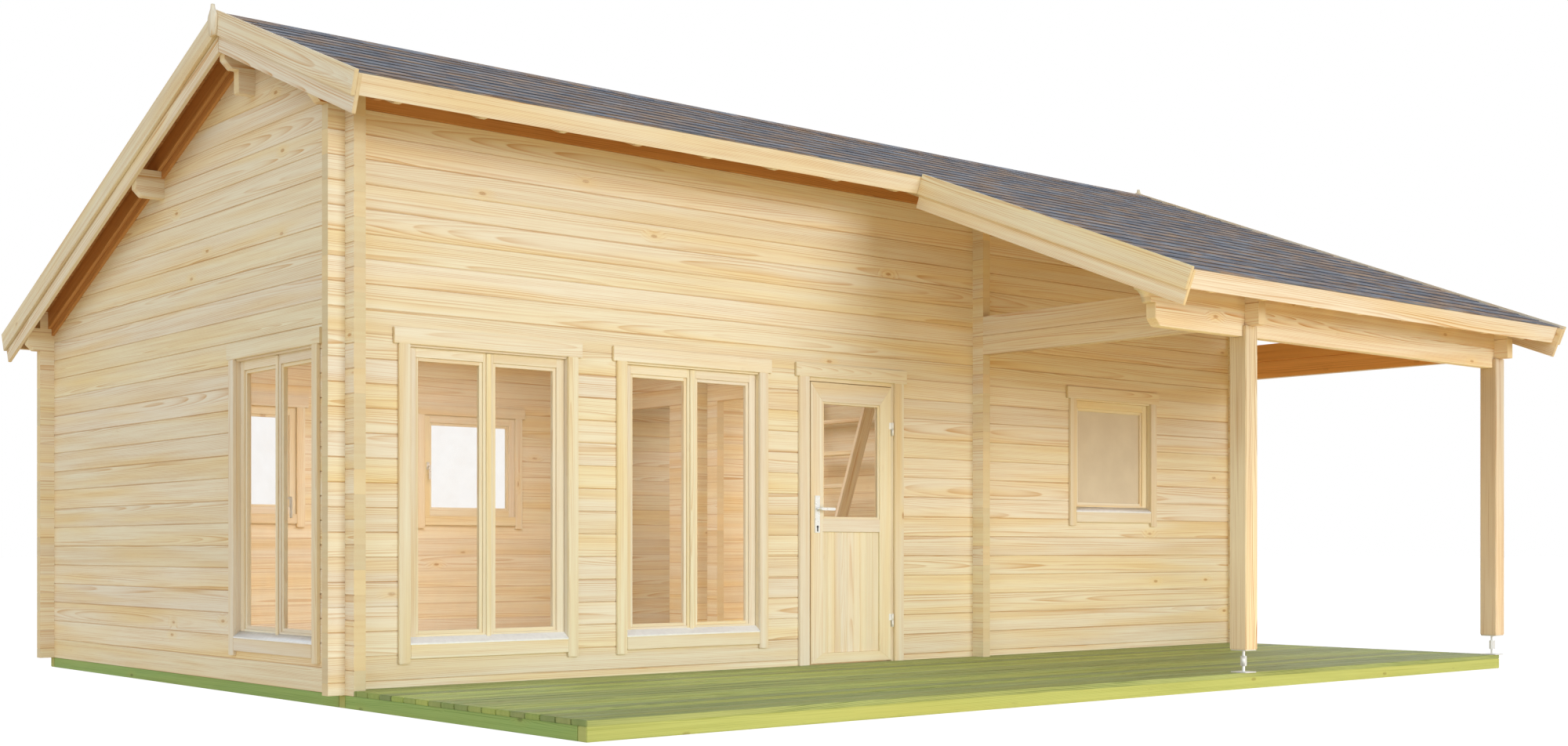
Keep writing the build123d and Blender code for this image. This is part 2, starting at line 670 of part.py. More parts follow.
def finial(x):
    """Board with swept sides over the joint of the gable boards."""
    edges = []
    for side in (REAR, FRONT):
        edges.append(Bezier(*[(x, side * y / 2, z) for y, z in curve]))
        edges.append(Bezier(*[(x, side * y / 2, z) for y, z in sweep]))
    edges.append(Line((x, FINIAL_TIP / 2, z_tip), (x, -FINIAL_TIP / 2, z_tip)))
    edges.append(Line((x, FINIAL_FOOT / 2, z_foot), (x, -FINIAL_FOOT / 2, z_foot)))
    return extrude(make_face(edges), amount=FINIAL_T, dir=(1, 0, 0))


keep("finials", joined([finial(X_L - GABLE_PAST - FINIAL_T), finial(X_R + GABLE_PAST)]))

# Front door casing
x_door = X_L + DOOR_FROM_LEFT
leaf_l = x_door - LEAF_W / 2
leaf_r = x_door + LEAF_W / 2
clear_l = leaf_l - DOOR_GAP
clear_r = leaf_r + DOOR_GAP
z_leaf = Z_W + LEAF_BOTTOM
z_leaf_top = Z_W + LEAF_TOP
z_frame_top = z_leaf_top + DOOR_GAP
y_in = Y_F + LOG_T
y_leaf = Y_F - LEAF_OUT
y_stop = y_leaf + LEAF_T + DOOR_GAP
stop_l = clear_l + DOOR_STOP_W
stop_r = clear_r - DOOR_STOP_W
jambs = []
for x0, x1, stop0, stop1 in ((left_jamb, clear_l, clear_l, stop_l), (clear_r, right_jamb, stop_r, clear_r)):
    jamb = block(x0, x1, Y_F, y_in, Z_W, Z_HEAD)
    jambs.append(jamb + block(stop0, stop1, y_stop, y_in, Z_W, Z_HEAD))
keep("door_jambs", joined(jambs))
rails = []
for z0, z1 in ((z_frame_top, Z_HEAD), (Z_W, Z_FLOOR)):
    rail = block(clear_l, clear_r, Y_F, y_stop, z0, z1)
    rails.append(rail + block(stop_l, stop_r, y_stop, y_in, z0, z1))
keep("door_head_and_threshold", joined(rails))
trim_lap = Z_HEAD - TRIM_HEAD_LAP
trim_l = left_jamb + DOOR_TRIM_INSET
trim_r = right_jamb - DOOR_TRIM_INSET
for d0, d1, foot in ((Y_F - TRIM_T, Y_F, Z_W + DECK_T), (y_in, y_in + TRIM_T, Z_FLOOR)):
    joinery["trim_sides"].append(block(trim_l - DOOR_TRIM_W, trim_l, d0, d1, foot, trim_lap))
    joinery["trim_sides"].append(block(trim_r, trim_r + DOOR_TRIM_W, d0, d1, foot, trim_lap))
    past = DOOR_TRIM_W + TRIM_HEAD_PAST
    head = block(trim_l - past, trim_r + past, d0, d1, trim_lap, trim_lap + TRIM_HEAD_H)
    joinery["trim_heads"].append(head)
for name, pieces in joinery.items():
    keep(name, joined(pieces))

# Door leaf, closed
y_back = y_leaf + LEAF_T
glass_l = leaf_l + LEAF_STILE
glass_r = leaf_r - LEAF_STILE
z_low = Z_W + LEAF_LOW_TOP
z_mid0 = Z_W + LEAF_MID_BOTTOM
z_mid1 = Z_W + LEAF_MID_TOP
z_glass = Z_W + LEAF_GLASS_TOP
x_spindle = leaf_l + LEVER_FROM_EDGE
z_spindle = Z_W + LEVER_Z
bore_r = SPINDLE_R + PIN_CLEAR
leaf = block(leaf_l, leaf_r, y_leaf, y_back, z_leaf, z_leaf_top)
leaf = leaf - block(glass_l, glass_r, y_leaf, y_back, z_low, z_mid0)
leaf = leaf - block(glass_l, glass_r, y_leaf, y_back, z_mid1, z_glass)
y_mid = (y_leaf + y_back) / 2
bore = Pos(x_spindle, y_mid, z_spindle) * Cylinder(bore_r, 2 * LEAF_T, rotation=(90, 0, 0))
keep("door_leaf", leaf - bore)
thin = LEAF_PANEL_T / 2
keep("door_panel", block(glass_l, glass_r, y_mid - thin, y_mid + thin, z_low, z_mid0))
thin = PANE_T / 2
keep("door_pane", block(glass_l, glass_r, y_mid - thin, y_mid + thin, z_mid1, z_glass))
z_plate0 = Z_W + PLATE_BOTTOM
z_plate1 = Z_W + PLATE_TOP
half = PLATE_W / 2
plates = []
for y0, y1 in ((y_leaf - PLATE_T, y_leaf), (y_back, y_back + PLATE_T)):
    plates.append(block(x_spindle - half, x_spindle + half, y0, y1, z_plate0, z_plate1) - bore)
keep("door_handle_plates", joined(plates))

# Hinges: upper halves on the leaf stand on the lower halves on the right jamb
x_pin = (leaf_r + clear_r) / 2
y_pin = y_leaf - HINGE_OUT
moving = []
fixed = []
for z in (HINGE_LOW, HINGE_HIGH):
    z_up = Z_W + z + HINGE_H + HINGE_GAP
    knuckle = Pos(x_pin, y_pin, z_up + HINGE_H / 2) * Cylinder(HINGE_R, HINGE_H)
    y_flag = y_leaf - HINGE_PLATE_T
    flag = block(x_pin - HINGE_PLATE_W, x_pin - DOOR_GAP / 2, y_flag, y_leaf, z_up, z_up + HINGE_H)
    web = block(x_pin - HINGE_R, x_pin - DOOR_GAP / 2, y_pin, y_leaf, z_up, z_up + HINGE_H)
    moving.append(knuckle + flag + web)
    z_dn = Z_W + z
    knuckle = Pos(x_pin, y_pin, z_dn + HINGE_H / 2) * Cylinder(HINGE_R, HINGE_H)
    flag = block(clear_r, clear_r + HINGE_R, y_pin, Y_F, z_dn, z_dn + HINGE_H)
    fixed.append(knuckle + flag)
keep("door_hinges_leaf", joined(moving))
keep("door_hinges_frame", joined(fixed))

# Lever handle on one square spindle through the leaf
y_out = y_leaf - PLATE_T
y_far = y_back + PLATE_T
spindle_l = y_far - y_out + 2 * LEVER_OUT
bar = extrude(RegularPolygon(SPINDLE_R, 4), amount=spindle_l / 2, both=True)
lever = Pos(x_spindle, y_mid, z_spindle) * Rot(90, 0, 0) * bar
neck_l = LEVER_OUT - NECK_CLEAR
for y_plate, out in ((y_out, FRONT), (y_far, REAR)):
    y_grip = y_plate + out * LEVER_OUT
    y_neck = y_plate + out * (NECK_CLEAR + neck_l / 2)
    neck = Cylinder(LEVER_R, neck_l, rotation=(90, 0, 0))
    grip = extrude(SlotCenterToCenter(LEVER_L, 2 * LEVER_R), amount=GRIP_T / 2, both=True)
    lever = lever + Pos(x_spindle, y_neck, z_spindle) * neck
    lever = lever + Pos(x_spindle + LEVER_L / 2, y_grip, z_spindle) * Rot(90, 0, 0) * grip
keep("lever_handle", lever)

# Ladder leaning on the partition
lx1 = X_P
lx0 = X_P - LADDER_FOOT
lean = LADDER_FOOT / (LADDER_TOP - FLOOR_T - LADDER_PLUMB)
ly0 = Y_F + LADDER_FROM_FRONT
strings = []
for y in (ly0, ly0 + LADDER_W - STRING_T):
    z_top = Z_W + LADDER_TOP
    x_top = lx0 - STRING_W + (z_top - Z_FLOOR) * lean
    string = [(lx0, Z_FLOOR), (lx0 - STRING_W, Z_FLOOR), (x_top, z_top), (lx1, z_top)]
    string.append((lx1, z_top - LADDER_PLUMB))
    strings.append(profile_y(string, y, y + STRING_T))
keep("ladder_strings", joined(strings))
treads = []
rise = (LADDER_TOP - FLOOR_T) / (TREADS + 1)
for k in range(TREADS):
    z = Z_FLOOR + rise * (k + 1)
    x = lx0 - STRING_W + (z - Z_FLOOR) * lean
    treads.append(block(x, x + TREAD_D, ly0 + STRING_T, ly0 + LADDER_W - STRING_T, z - TREAD_T, z))
keep("ladder_treads", joined(treads))

for name, piece in PARTS.items():
    export_step(piece, "parts/" + name + ".step")
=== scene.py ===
"""Looks of a pine log cabin: eased timber, grained wood, shingles, joinery, light and camera.

Metres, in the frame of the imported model: x along the house, y = 0 under the ridge, z up from the ground.
"""

import math
from random import Random

import bmesh
import bpy
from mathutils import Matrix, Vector


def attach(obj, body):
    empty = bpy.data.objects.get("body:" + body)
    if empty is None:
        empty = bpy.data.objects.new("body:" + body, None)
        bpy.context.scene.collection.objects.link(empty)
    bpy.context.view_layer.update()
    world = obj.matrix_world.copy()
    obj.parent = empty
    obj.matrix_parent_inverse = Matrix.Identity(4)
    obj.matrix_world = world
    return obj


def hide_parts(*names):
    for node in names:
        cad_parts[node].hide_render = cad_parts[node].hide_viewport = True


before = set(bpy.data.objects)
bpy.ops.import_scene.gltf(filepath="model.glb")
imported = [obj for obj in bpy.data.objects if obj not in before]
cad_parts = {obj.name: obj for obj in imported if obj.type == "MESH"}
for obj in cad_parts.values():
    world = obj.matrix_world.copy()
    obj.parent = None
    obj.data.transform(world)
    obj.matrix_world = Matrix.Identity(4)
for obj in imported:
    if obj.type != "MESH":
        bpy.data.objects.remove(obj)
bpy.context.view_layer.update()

# Log walls
LOG = 0.135
WALL_T = 0.07
GROUND_BEAM = 0.07
LEFT = -3.9575
RIGHT = 3.9575
PARTITION = 0.8925
FRONT_FACE = -1.17
REAR_FACE = 3.47
LONG_WALL_START = GROUND_BEAM - LOG / 2
GABLE_WALL_START = GROUND_BEAM
PORCH_FRONT = -3.435
TOP_ROW = 24
FLOOR_BOARD = 0.12

# Roof
ROOF_RISE = 0.398
PITCH = math.atan(ROOF_RISE)
APEX = 3.8136
RAFTER_H = 0.115
BOARD_T = 0.02
BOARD_W = 0.096
BOARD_GROOVE = 0.004
MAIN_SLOPE = 1.7523
LONG_SLOPE = 4.0288
EAVE_BOARD_T = 0.02
ROOF_LEFT = -4.1435
ROOF_RIGHT = 4.1435
TERRACE_ROOF = -0.0915
GABLE_BOARD_T = 0.023
COURSE = 0.1655
COURSE_LAP = 0.02
TAB_W = 0.333
TAB_GAP = 0.002
TAB_SHIFT = 0.2
TAB_BUTT = 0.0065
TAB_TOP = 0.0015
UNDERLAY = 0.001
CAP_W = 0.125
CAP_T = 0.004

# Windows: (wall, centre along it, width, bottom, two leaves)
HEAD = 2.0275
TALL = (1.106, 0.2725, True)
SMALL = (0.951, 1.0825, False)
WINDOWS = [
    ("front", LEFT + 0.902, *TALL),
    ("front", LEFT + 2.360, *TALL),
    ("front", LEFT + 6.388, *SMALL),
    ("rear", LEFT + 1.441, *SMALL),
    ("rear", LEFT + 3.465, *SMALL),
    ("gable", FRONT_FACE + 0.882, *TALL),
]
JAMB_T = 0.035
CASING_HEAD = 0.052
CASING_SILL = 0.056
STILE = 0.074
MEETING = 0.052
SASH_IN = 0.025
SASH_GAP = 0.003
BEAD_W = 0.020
BEAD_IN = 0.034
BEAD_BACK = 0.060
COVER_W = 0.030
COVER_T = 0.010

# Inside window handles: (name, half width, from the wall, to, below the middle, above it, eased edge)
HANDLE_PARTS = [
    ("plate", 0.014, 0.0, 0.009, 0.033, 0.033, 0.003),
    ("neck", 0.007, 0.009, 0.036, 0.007, 0.007, 0.002),
    ("grip", 0.009, 0.028, 0.042, 0.115, 0.009, 0.004),
]

# Door leaf
LEAF_L = -0.6355
LEAF_R = 0.0885
LEAF_FACE = -1.175
LEAF_BACK = -1.130
LEAF_BOTTOM = 0.106
LEAF_TOP = 1.957
LEAF_STILE = 0.105
GLASS_TOP = 1.831
MID_TOP = 1.059
MID_BOTTOM = 0.973
PANEL_BOTTOM = 0.171
PANEL_T = 0.018
PANEL_BOARDS = 9
DOOR_BEAD = 0.014
DOOR_BEAD_IN = 0.006
DOOR_BEAD_DEPTH = 0.018
KEY_X = -0.5845
KEY_Z = 1.005
KEY_IN = 0.004
KEY_OUT = 0.0095
KEY_R = 0.0085
KEY_SIDES = 20
KEY_SLOT_W = 0.010
KEY_SLOT_H = 0.027
KEY_SLOT_DROP = 0.031

# Edges and facing
EASE = 0.0025
FINE_EASE = 0.0015
METAL_EASE = 0.001
KEY_EASE = 0.0006
BOARD_EASE = 0.003
HANDLE_EASE = 0.003
POST_EASE = 0.004
END_FACING = 0.9
SIDE_FACING = 0.5
FLAT_ANGLE = math.radians(0.6)
SHARP_ANGLE = 0.3
WELD = 2e-5
EDGE_DIGITS = 4

# Knots: at most one in each length of a board
KNOT_EVERY = 0.75
KNOT_PLACE = (0.25, 0.75)
KNOT_ASIDE = (-0.05, 0.05)
KNOT_ALONG = 0.42
KNOT_CORE = (0.006, 0.013)
KNOT_HALO = (0.008, 0.045)
KNOT_PUSH = 0.012
KNOT_DARK = 0.75

# Growth rings: where in its tree a board was cut, and how far the rings stray
GRAIN_START = 40
PITH_ASIDE = (-0.13, 0.13)
PITH_DEPTH = (0.045, 0.15)
RIPPLE = 0.007

# Wood patterns: how fine each one is by the three values that it takes
DRIFT_FINE = (0.22, 31.0, 1.0)
TAPER_SCALE = 1.7
RIPPLE_FINE = (1.1, 11.0, 1.0)
PATCH_FINE = (0.5, 22.0, 1.0)
PATCH_SCALE = 1.6
FIBRE_FINE = (5.0, 330.0, 330.0)
FIBRE_MIX = 0.65
STREAK_FINE = (0.9, 170.0, 170.0)
STREAK_MIX = 0.6
BROAD_FINE = (0.6, 9.0, 17.0)
NOISE_MIDDLE = 0.5
NOISE_REACH = (0.3, 0.7)

# Wood patterns: between which levels each one comes up, and between which shares it then shows
SUMMER_RISE = (0.15, 0.88)
SUMMER_FALL = (0.92, 1.0)
SUMMER_POWER = 1.7
SUMMER_PATCHES = (0.36, 0.68, 0.12, 1.0)
STREAK_RISE = (0.56, 0.74)
FIBRE_RISE = (0.52, 0.75)
GOLD_PATCHES = (0.45, 0.8, 0.0, 0.75)
JOINT_SHADE_PATCHES = (0.4, 0.65, 0.25, 0.5)
END_GOLD = (0.3, 0.9, 0.0, 0.55)

# Wood: how much of each pattern shows in colour, gloss and relief
STREAK_SHARE = 0.45
FIBRE_SHARE = 0.16
JOINT_SHADE_FULL = 0.3
HALO_SHARE = 0.55
END_SUMMER = 0.4
END_SHARE = 0.85
BLUE_LEVELS = (0.9, 1.0)
WOOD_ROUGH = (0.55, 0.72)
FIBRE_RELIEF = 0.5
SUMMER_RELIEF = 0.4
WOOD_RELIEF = 0.0006
WOOD_BUMP = 0.5

# Shingles: patterns along the house, across it and by chance, then colour, gloss and relief
RUST_FINE = (2.2, 9.0, 3.0)
RUST_DETAIL = 4.0
RUST_RISE = (0.45, 0.58)
TONE_FINE = (3.5, 12.0, 5.0)
TONE_DETAIL = 3.0
TONE_RISE = (0.38, 0.62)
SPECKLE_MIX = 0.6
GRANULES = 420.0
GRANULE_DETAIL = 2.0
GRANULE_MIX = 0.7
GRANULE_LEVELS = (0.72, 1.2)
TAB_LEVELS = (0.9, 1.05)
BUTT_SHADE_SHARE = 0.75
SHINGLE_ROUGH = (0.8, 0.95)
GRANULE_RELIEF = 0.0012
GRANULE_BUMP = 0.6

# Metal and glass
CLOUDS = 35.0
CLOUD_DETAIL = 4.0
WEAR_RISE = (0.45, 0.75)
WEAR_LEVEL = 0.93
SMOOTHER = 0.06
ROUGHER = 0.08
SCRATCHES = 900.0
SCRATCH_DETAIL = 2.0
SCRATCH_RELIEF = 0.0002
SCRATCH_BUMP = 0.25
DUST = 6.0
DUST_DETAIL = 4.0
DUST_RISE = (0.4, 0.7)
DUST_VEIL = (0.3, 0.8)
VEIL = 0.04
DUST_DULL = (0.4, 0.8, 0.02, 0.05)

# Stage: what the camera sees of floor and sky is white, and what lights the part is tinted
FLOOR_SIZE = 400
FLOOR_DROP = 0.001
FLOOR_SEEN = (0.95, 0.95, 0.95, 1)
FLOOR_BOUNCE = (0.7, 0.6, 0.42, 1)
GLOW_BOUNCE = (1.0, 0.78, 0.42, 1)
GLOW = 1.1
GLOW_SHARE_BOUNCE = 0.3
GLOW_SHARE_SEEN = 0.9
WHITE = (1, 1, 1, 1)
SKY = (0.9, 0.95, 1.0, 1)
SKY_LEVEL = 0.33
DOWN = (0, 0, -1)
PLAIN_LIGHT = (1, 1, 1)

# Suns: (name, direction, strength, spread in degrees, colour)
SUNS = [
    ("key", (-0.14, 0.97, -0.16), 1.6, 32, (0.92, 0.97, 1.0)),
    ("fill", (1.0, 0.20, -0.30), 1.5, 90, (0.84, 0.92, 1.0)),
    ("back", (-0.45, -0.85, -0.40), 0.9, 60, PLAIN_LIGHT),
]

# Lights in the rooms: (name, place, size, power)
ROOM_LIGHTS = [
    ("main_room", (-1.5, 1.2, 2.6), 2.4, 66),
    ("side_room", (2.4, 0.3, 2.4), 1.4, 45),
    ("rear_room", (2.4, 2.7, 2.2), 1.0, 12),
]

# Lamp that stands in for warm light thrown up by the ground in front
BOUNCE_AT = (0.4, -4.7, 0.06)
BOUNCE_WAY = (0, 0.75, 0.66)
BOUNCE_SIZE = (9.0, 1.0)
BOUNCE_POWER = 92
BOUNCE_COLOUR = (1.0, 0.68, 0.28)

# Camera: lens in millimetres, tilt and turn in degrees
LENS = 41.896
SENSOR = 36
LENS_SHIFT = 0.1133
CLIP_END = 500
CAMERA_AT = (-8.5043, -10.17665, 0.84897)
CAMERA_TILT = 90
CAMERA_TURN = -40.31


def srgb(red, green, blue):
    """Linear colour of an 8-bit screen colour."""
    def linear(level):
        c = level / 255
        return c / 12.92 if c <= 0.04045 else ((c + 0.055) / 1.055) ** 2.4
    return (linear(red), linear(green), linear(blue), 1)


class Finish:
    """A material under construction, with short calls for the nodes it needs."""

    def __init__(self, name, **surface):
        self.material = bpy.data.materials.new(name)
        self.material.use_nodes = True
        self.tree = self.material.node_tree
        self.bsdf = self.tree.nodes["Principled BSDF"]
        for socket, value in surface.items():
            self.bsdf.inputs[socket.replace("_", " ")].default_value = value

    def node(self, kind, inputs=(), **settings):
        """A new node with its settings and what its sockets take."""
        made = self.tree.nodes.new(kind)
        for key, value in settings.items():
            setattr(made, key, value)
        for socket, value in dict(inputs).items():
            self.feed(value, made.inputs[socket])
        return made

    def feed(self, value, socket):
        """Links a socket to another one, or sets its value."""
        if isinstance(value, bpy.types.NodeSocket):
            self.tree.links.new(value, socket)
        else:
            socket.default_value = value

    def math(self, operation, a, b=0.0):
        return self.node("ShaderNodeMath", {0: a, 1: b}, operation=operation).outputs[0]

    def times(self, a, b):
        return self.math("MULTIPLY", a, b)

    def plus(self, a, b):
        return self.math("ADD", a, b)

    def minus(self, a, b):
        return self.math("SUBTRACT", a, b)

    def length(self, a, b):
        """Length of a way that goes a along and b across."""
        squares = self.plus(self.math("POWER", a, 2.0), self.math("POWER", b, 2.0))
        return self.math("POWER", squares, 0.5)

    def scaled(self, parts, scales):
        """A place whose three parts are each scaled."""
        pairs = zip(parts, scales)
        return self.vector(*(part if scale == 1 else self.times(part, scale) for part, scale in pairs))

    def vector(self, x, y, z):
        return self.node("ShaderNodeCombineXYZ", {0: x, 1: y, 2: z}).outputs[0]

    def split(self, vector):
        return self.node("ShaderNodeSeparateXYZ", {0: vector}).outputs

    def noise(self, place, scale=1.0, detail=1.0, rough=0.5):
        inputs = {"Vector": place, "Scale": scale, "Detail": detail, "Roughness": rough}
        return self.node("ShaderNodeTexNoise", inputs).outputs["Fac"]

    def sway(self, place, reach, scale=1.0, detail=1.0):
        """Noise that swings about zero."""
        return self.times(self.minus(self.noise(place, scale, detail), NOISE_MIDDLE), reach)

    def span(self, value, low, high, to_low=0.0, to_high=1.0):
        """A value's way from low to high, given out as one from to_low to to_high."""
        inputs = {0: value, 1: low, 2: high, 3: to_low, 4: to_high}
        return self.node("ShaderNodeMapRange", inputs, clamp=True).outputs[0]

    def mix(self, share, a, b, blend="MIX"):
        inputs = {0: share, 6: a, 7: b}
        return self.node("ShaderNodeMix", inputs, data_type="RGBA", blend_type=blend).outputs[2]

    def attribute(self, name):
        return self.node("ShaderNodeAttribute", attribute_name=name).outputs["Vector"]

    def place(self):
        return self.node("ShaderNodeTexCoord").outputs["Object"]

    def colour(self, value):
        self.feed(value, self.bsdf.inputs["Base Color"])

    def rough(self, value):
        self.feed(value, self.bsdf.inputs["Roughness"])

    def bump(self, height, distance, strength=1.0):
        inputs = {"Height": height, "Distance": distance, "Strength": strength}
        self.feed(self.node("ShaderNodeBump", inputs).outputs[0], self.bsdf.inputs["Normal"])


def wood(
    name, early, late, golden, knot, end_grain,
    ring=0.0055, streak=0.7, knots=0.2, joint=0.0, vary=0.07, bend=0.09,
):
    """Softwood cut from its own tree: growth rings round a wandering pith, fibres, knots and sawn ends.

    Each board carries its own grain direction and chance values in the attributes grain and tone.
    """
    f = Finish(name, Specular_IOR_Level=0.25)
    along, across, deep = f.split(f.attribute("grain"))
    chance, is_end, other = f.split(f.attribute("tone"))

    # Knots
    cell = f.math("FLOOR", f.math("DIVIDE", along, KNOT_EVERY))
    lot = {"Vector": f.vector(cell, chance, other)}
    white = f.node("ShaderNodeTexWhiteNoise", lot, noise_dimensions="3D")
    here, aside, size = f.split(white.outputs["Color"])
    middle = f.times(f.plus(cell, f.span(here, 0, 1, *KNOT_PLACE)), KNOT_EVERY)
    from_knot = f.times(f.minus(along, middle), KNOT_ALONG)
    off_knot = f.minus(across, f.span(aside, 0, 1, *KNOT_ASIDE))
    far = f.length(from_knot, off_knot)
    present = f.math("LESS_THAN", size, knots)
    core = f.times(f.span(far, *KNOT_CORE, 1, 0), present)
    halo = f.times(f.span(far, *KNOT_HALO, 1, 0), present)

    # Growth rings round the pith, bent round the knots
    drift = f.scaled((along, chance, other), DRIFT_FINE)
    wander = f.sway(drift, bend, detail=0.0)
    taper = f.sway(drift, bend, TAPER_SCALE, detail=0.0)
    ripple = f.sway(f.scaled((along, across, chance), RIPPLE_FINE), RIPPLE)
    side = f.plus(f.plus(across, wander), f.span(other, 0, 1, *PITH_ASIDE))
    depth = f.plus(f.plus(deep, f.span(chance, 0, 1, *PITH_DEPTH)), taper)
    radius = f.plus(f.plus(f.length(side, depth), ripple), f.times(halo, KNOT_PUSH))
    year = f.math("FRACT", f.math("DIVIDE", radius, ring))
    summer = f.times(f.span(year, *SUMMER_RISE), f.span(year, *SUMMER_FALL, 1, 0))
    summer = f.math("POWER", summer, SUMMER_POWER)
    patchy = f.noise(f.scaled((along, across, chance), PATCH_FINE), PATCH_SCALE)
    summer = f.times(summer, f.span(patchy, *SUMMER_PATCHES))

    # Fibres, streaks and broad tones
    fibre = f.noise(f.scaled((along, across, deep), FIBRE_FINE), rough=FIBRE_MIX)
    lines = f.noise(f.scaled((along, across, deep), STREAK_FINE), rough=STREAK_MIX)
    streaks = f.span(lines, *STREAK_RISE)
    broad = f.noise(f.scaled((along, across, other), BROAD_FINE))

    # Colour, from the broad tone down to the knots and the sawn ends
    tint = f.mix(f.span(broad, *GOLD_PATCHES), early, golden)
    tint = f.mix(f.times(summer, streak), tint, late)
    tint = f.mix(f.times(f.span(fibre, *FIBRE_RISE), FIBRE_SHARE), tint, late)
    tint = f.mix(f.times(streaks, STREAK_SHARE * streak), tint, late)
    # Painted shade in the log joints: near each log's edges the wood darkens towards the knot colour, in
    # patches.
    if joint:
        joint_shade = f.span(f.math("ABSOLUTE", across), LOG / 2 - joint, LOG / 2 - JOINT_SHADE_FULL * joint)
        tint = f.mix(f.times(joint_shade, f.span(patchy, *JOINT_SHADE_PATCHES)), tint, knot)
    tint = f.mix(f.times(halo, HALO_SHARE), tint, golden)
    tint = f.mix(f.times(core, KNOT_DARK), tint, knot)
    rings = f.mix(f.span(chance, *END_GOLD), end_grain, golden)
    rings = f.mix(f.times(summer, END_SUMMER), rings, late)
    tint = f.mix(f.times(is_end, END_SHARE), tint, rings)
    level = f.span(other, 0, 1, 1.0 - vary, 1.0)
    blue = f.span(chance, 0, 1, *BLUE_LEVELS)
    f.colour(f.mix(1.0, tint, f.vector(level, level, blue), "MULTIPLY"))
    f.rough(f.span(fibre, *NOISE_REACH, *WOOD_ROUGH))
    relief = f.minus(f.times(fibre, FIBRE_RELIEF), f.times(summer, SUMMER_RELIEF))
    f.bump(relief, WOOD_RELIEF, WOOD_BUMP)
    return f.material


def shingle_finish(name):
    """Mineral granules in slate grey and blue with rusty patches, with painted shade on the lower edges."""
    f = Finish(name, Specular_IOR_Level=0.2)
    place = f.place()
    x, y, _ = f.split(place)
    chance, is_end, other = f.split(f.attribute("tone"))
    patch = f.noise(f.scaled((x, y, chance), RUST_FINE), detail=RUST_DETAIL, rough=SPECKLE_MIX)
    tone = f.noise(f.scaled((x, y, other), TONE_FINE), detail=TONE_DETAIL, rough=SPECKLE_MIX)
    grain = f.noise(place, GRANULES, GRANULE_DETAIL, GRANULE_MIX)
    cool = f.mix(f.span(tone, *TONE_RISE), srgb(109, 114, 127), srgb(151, 154, 163))
    rust = f.mix(f.span(tone, *TONE_RISE), srgb(136, 115, 102), srgb(186, 157, 134))
    tint = f.mix(f.span(patch, *RUST_RISE), cool, rust)
    level = f.times(f.span(grain, *NOISE_REACH, *GRANULE_LEVELS), f.span(other, 0, 1, *TAB_LEVELS))
    tint = f.mix(1.0, tint, f.vector(level, level, level), "MULTIPLY")
    # Painted shade on the lower edges of the tabs, under each course.
    f.colour(f.mix(f.times(is_end, BUTT_SHADE_SHARE), tint, srgb(62, 60, 62)))
    f.rough(f.span(grain, *NOISE_REACH, *SHINGLE_ROUGH))
    f.bump(grain, GRANULE_RELIEF, GRANULE_BUMP)
    return f.material


def metal_finish(name, colour, metallic, rough):
    """Satin metal with faint cloudy wear."""
    f = Finish(name, Metallic=metallic)
    place = f.place()
    cloud = f.noise(place, CLOUDS, CLOUD_DETAIL)
    fine = f.noise(place, SCRATCHES, SCRATCH_DETAIL)
    dull = tuple(WEAR_LEVEL * c for c in colour[:3]) + (1,)
    f.colour(f.mix(f.span(cloud, *WEAR_RISE), colour, dull))
    f.rough(f.span(cloud, *NOISE_REACH, rough - SMOOTHER, rough + ROUGHER))
    f.bump(fine, SCRATCH_RELIEF, SCRATCH_BUMP)
    return f.material


def glass_finish(name, clear):
    """Pane with a warm tint and a little dust; clear is the share of light it lets through."""
    f = Finish(name, IOR=1.45)
    dust = f.noise(f.place(), DUST, DUST_DETAIL)
    f.colour(f.mix(f.span(dust, *DUST_RISE), srgb(221, 205, 177), srgb(225, 210, 182)))
    f.feed(f.span(dust, *DUST_VEIL, 1.0 - clear, 1.0 - clear + VEIL), f.bsdf.inputs["Alpha"])
    f.rough(f.span(dust, *DUST_DULL))
    return f.material


PINE_PALE = srgb(247, 238, 216)
PINE_LATE = srgb(208, 154, 80)
PINE_GOLD = srgb(244, 217, 158)
KNOT = srgb(186, 130, 68)
END_PINE = srgb(224, 208, 174)
PLANED = (PINE_PALE, PINE_LATE, PINE_GOLD, KNOT, END_PINE)
PINE = wood("pine", *PLANED, ring=0.005, streak=0.95, knots=0.15)
LOG_PINE = wood("log_pine", *PLANED, knots=0.06, joint=0.005, bend=0.06)
POST_PINE = wood(
    "post_pine", srgb(232, 222, 198), srgb(178, 130, 74), srgb(226, 204, 160), KNOT, END_PINE,
    ring=0.005, streak=1.2,
)
TRIM = wood("trim_pine", *PLANED, ring=0.0045, streak=0.5, knots=0.06)
# Darker, more orange pine: painted warm shade for the roof boards, the rafters past the gable walls, the
# gable laths and the front wall's top log.
SHADED_PINE = wood(
    "shaded_pine", srgb(214, 158, 98), srgb(162, 104, 54), srgb(200, 140, 78), srgb(146, 88, 42),
    srgb(224, 176, 116), streak=0.9,
)
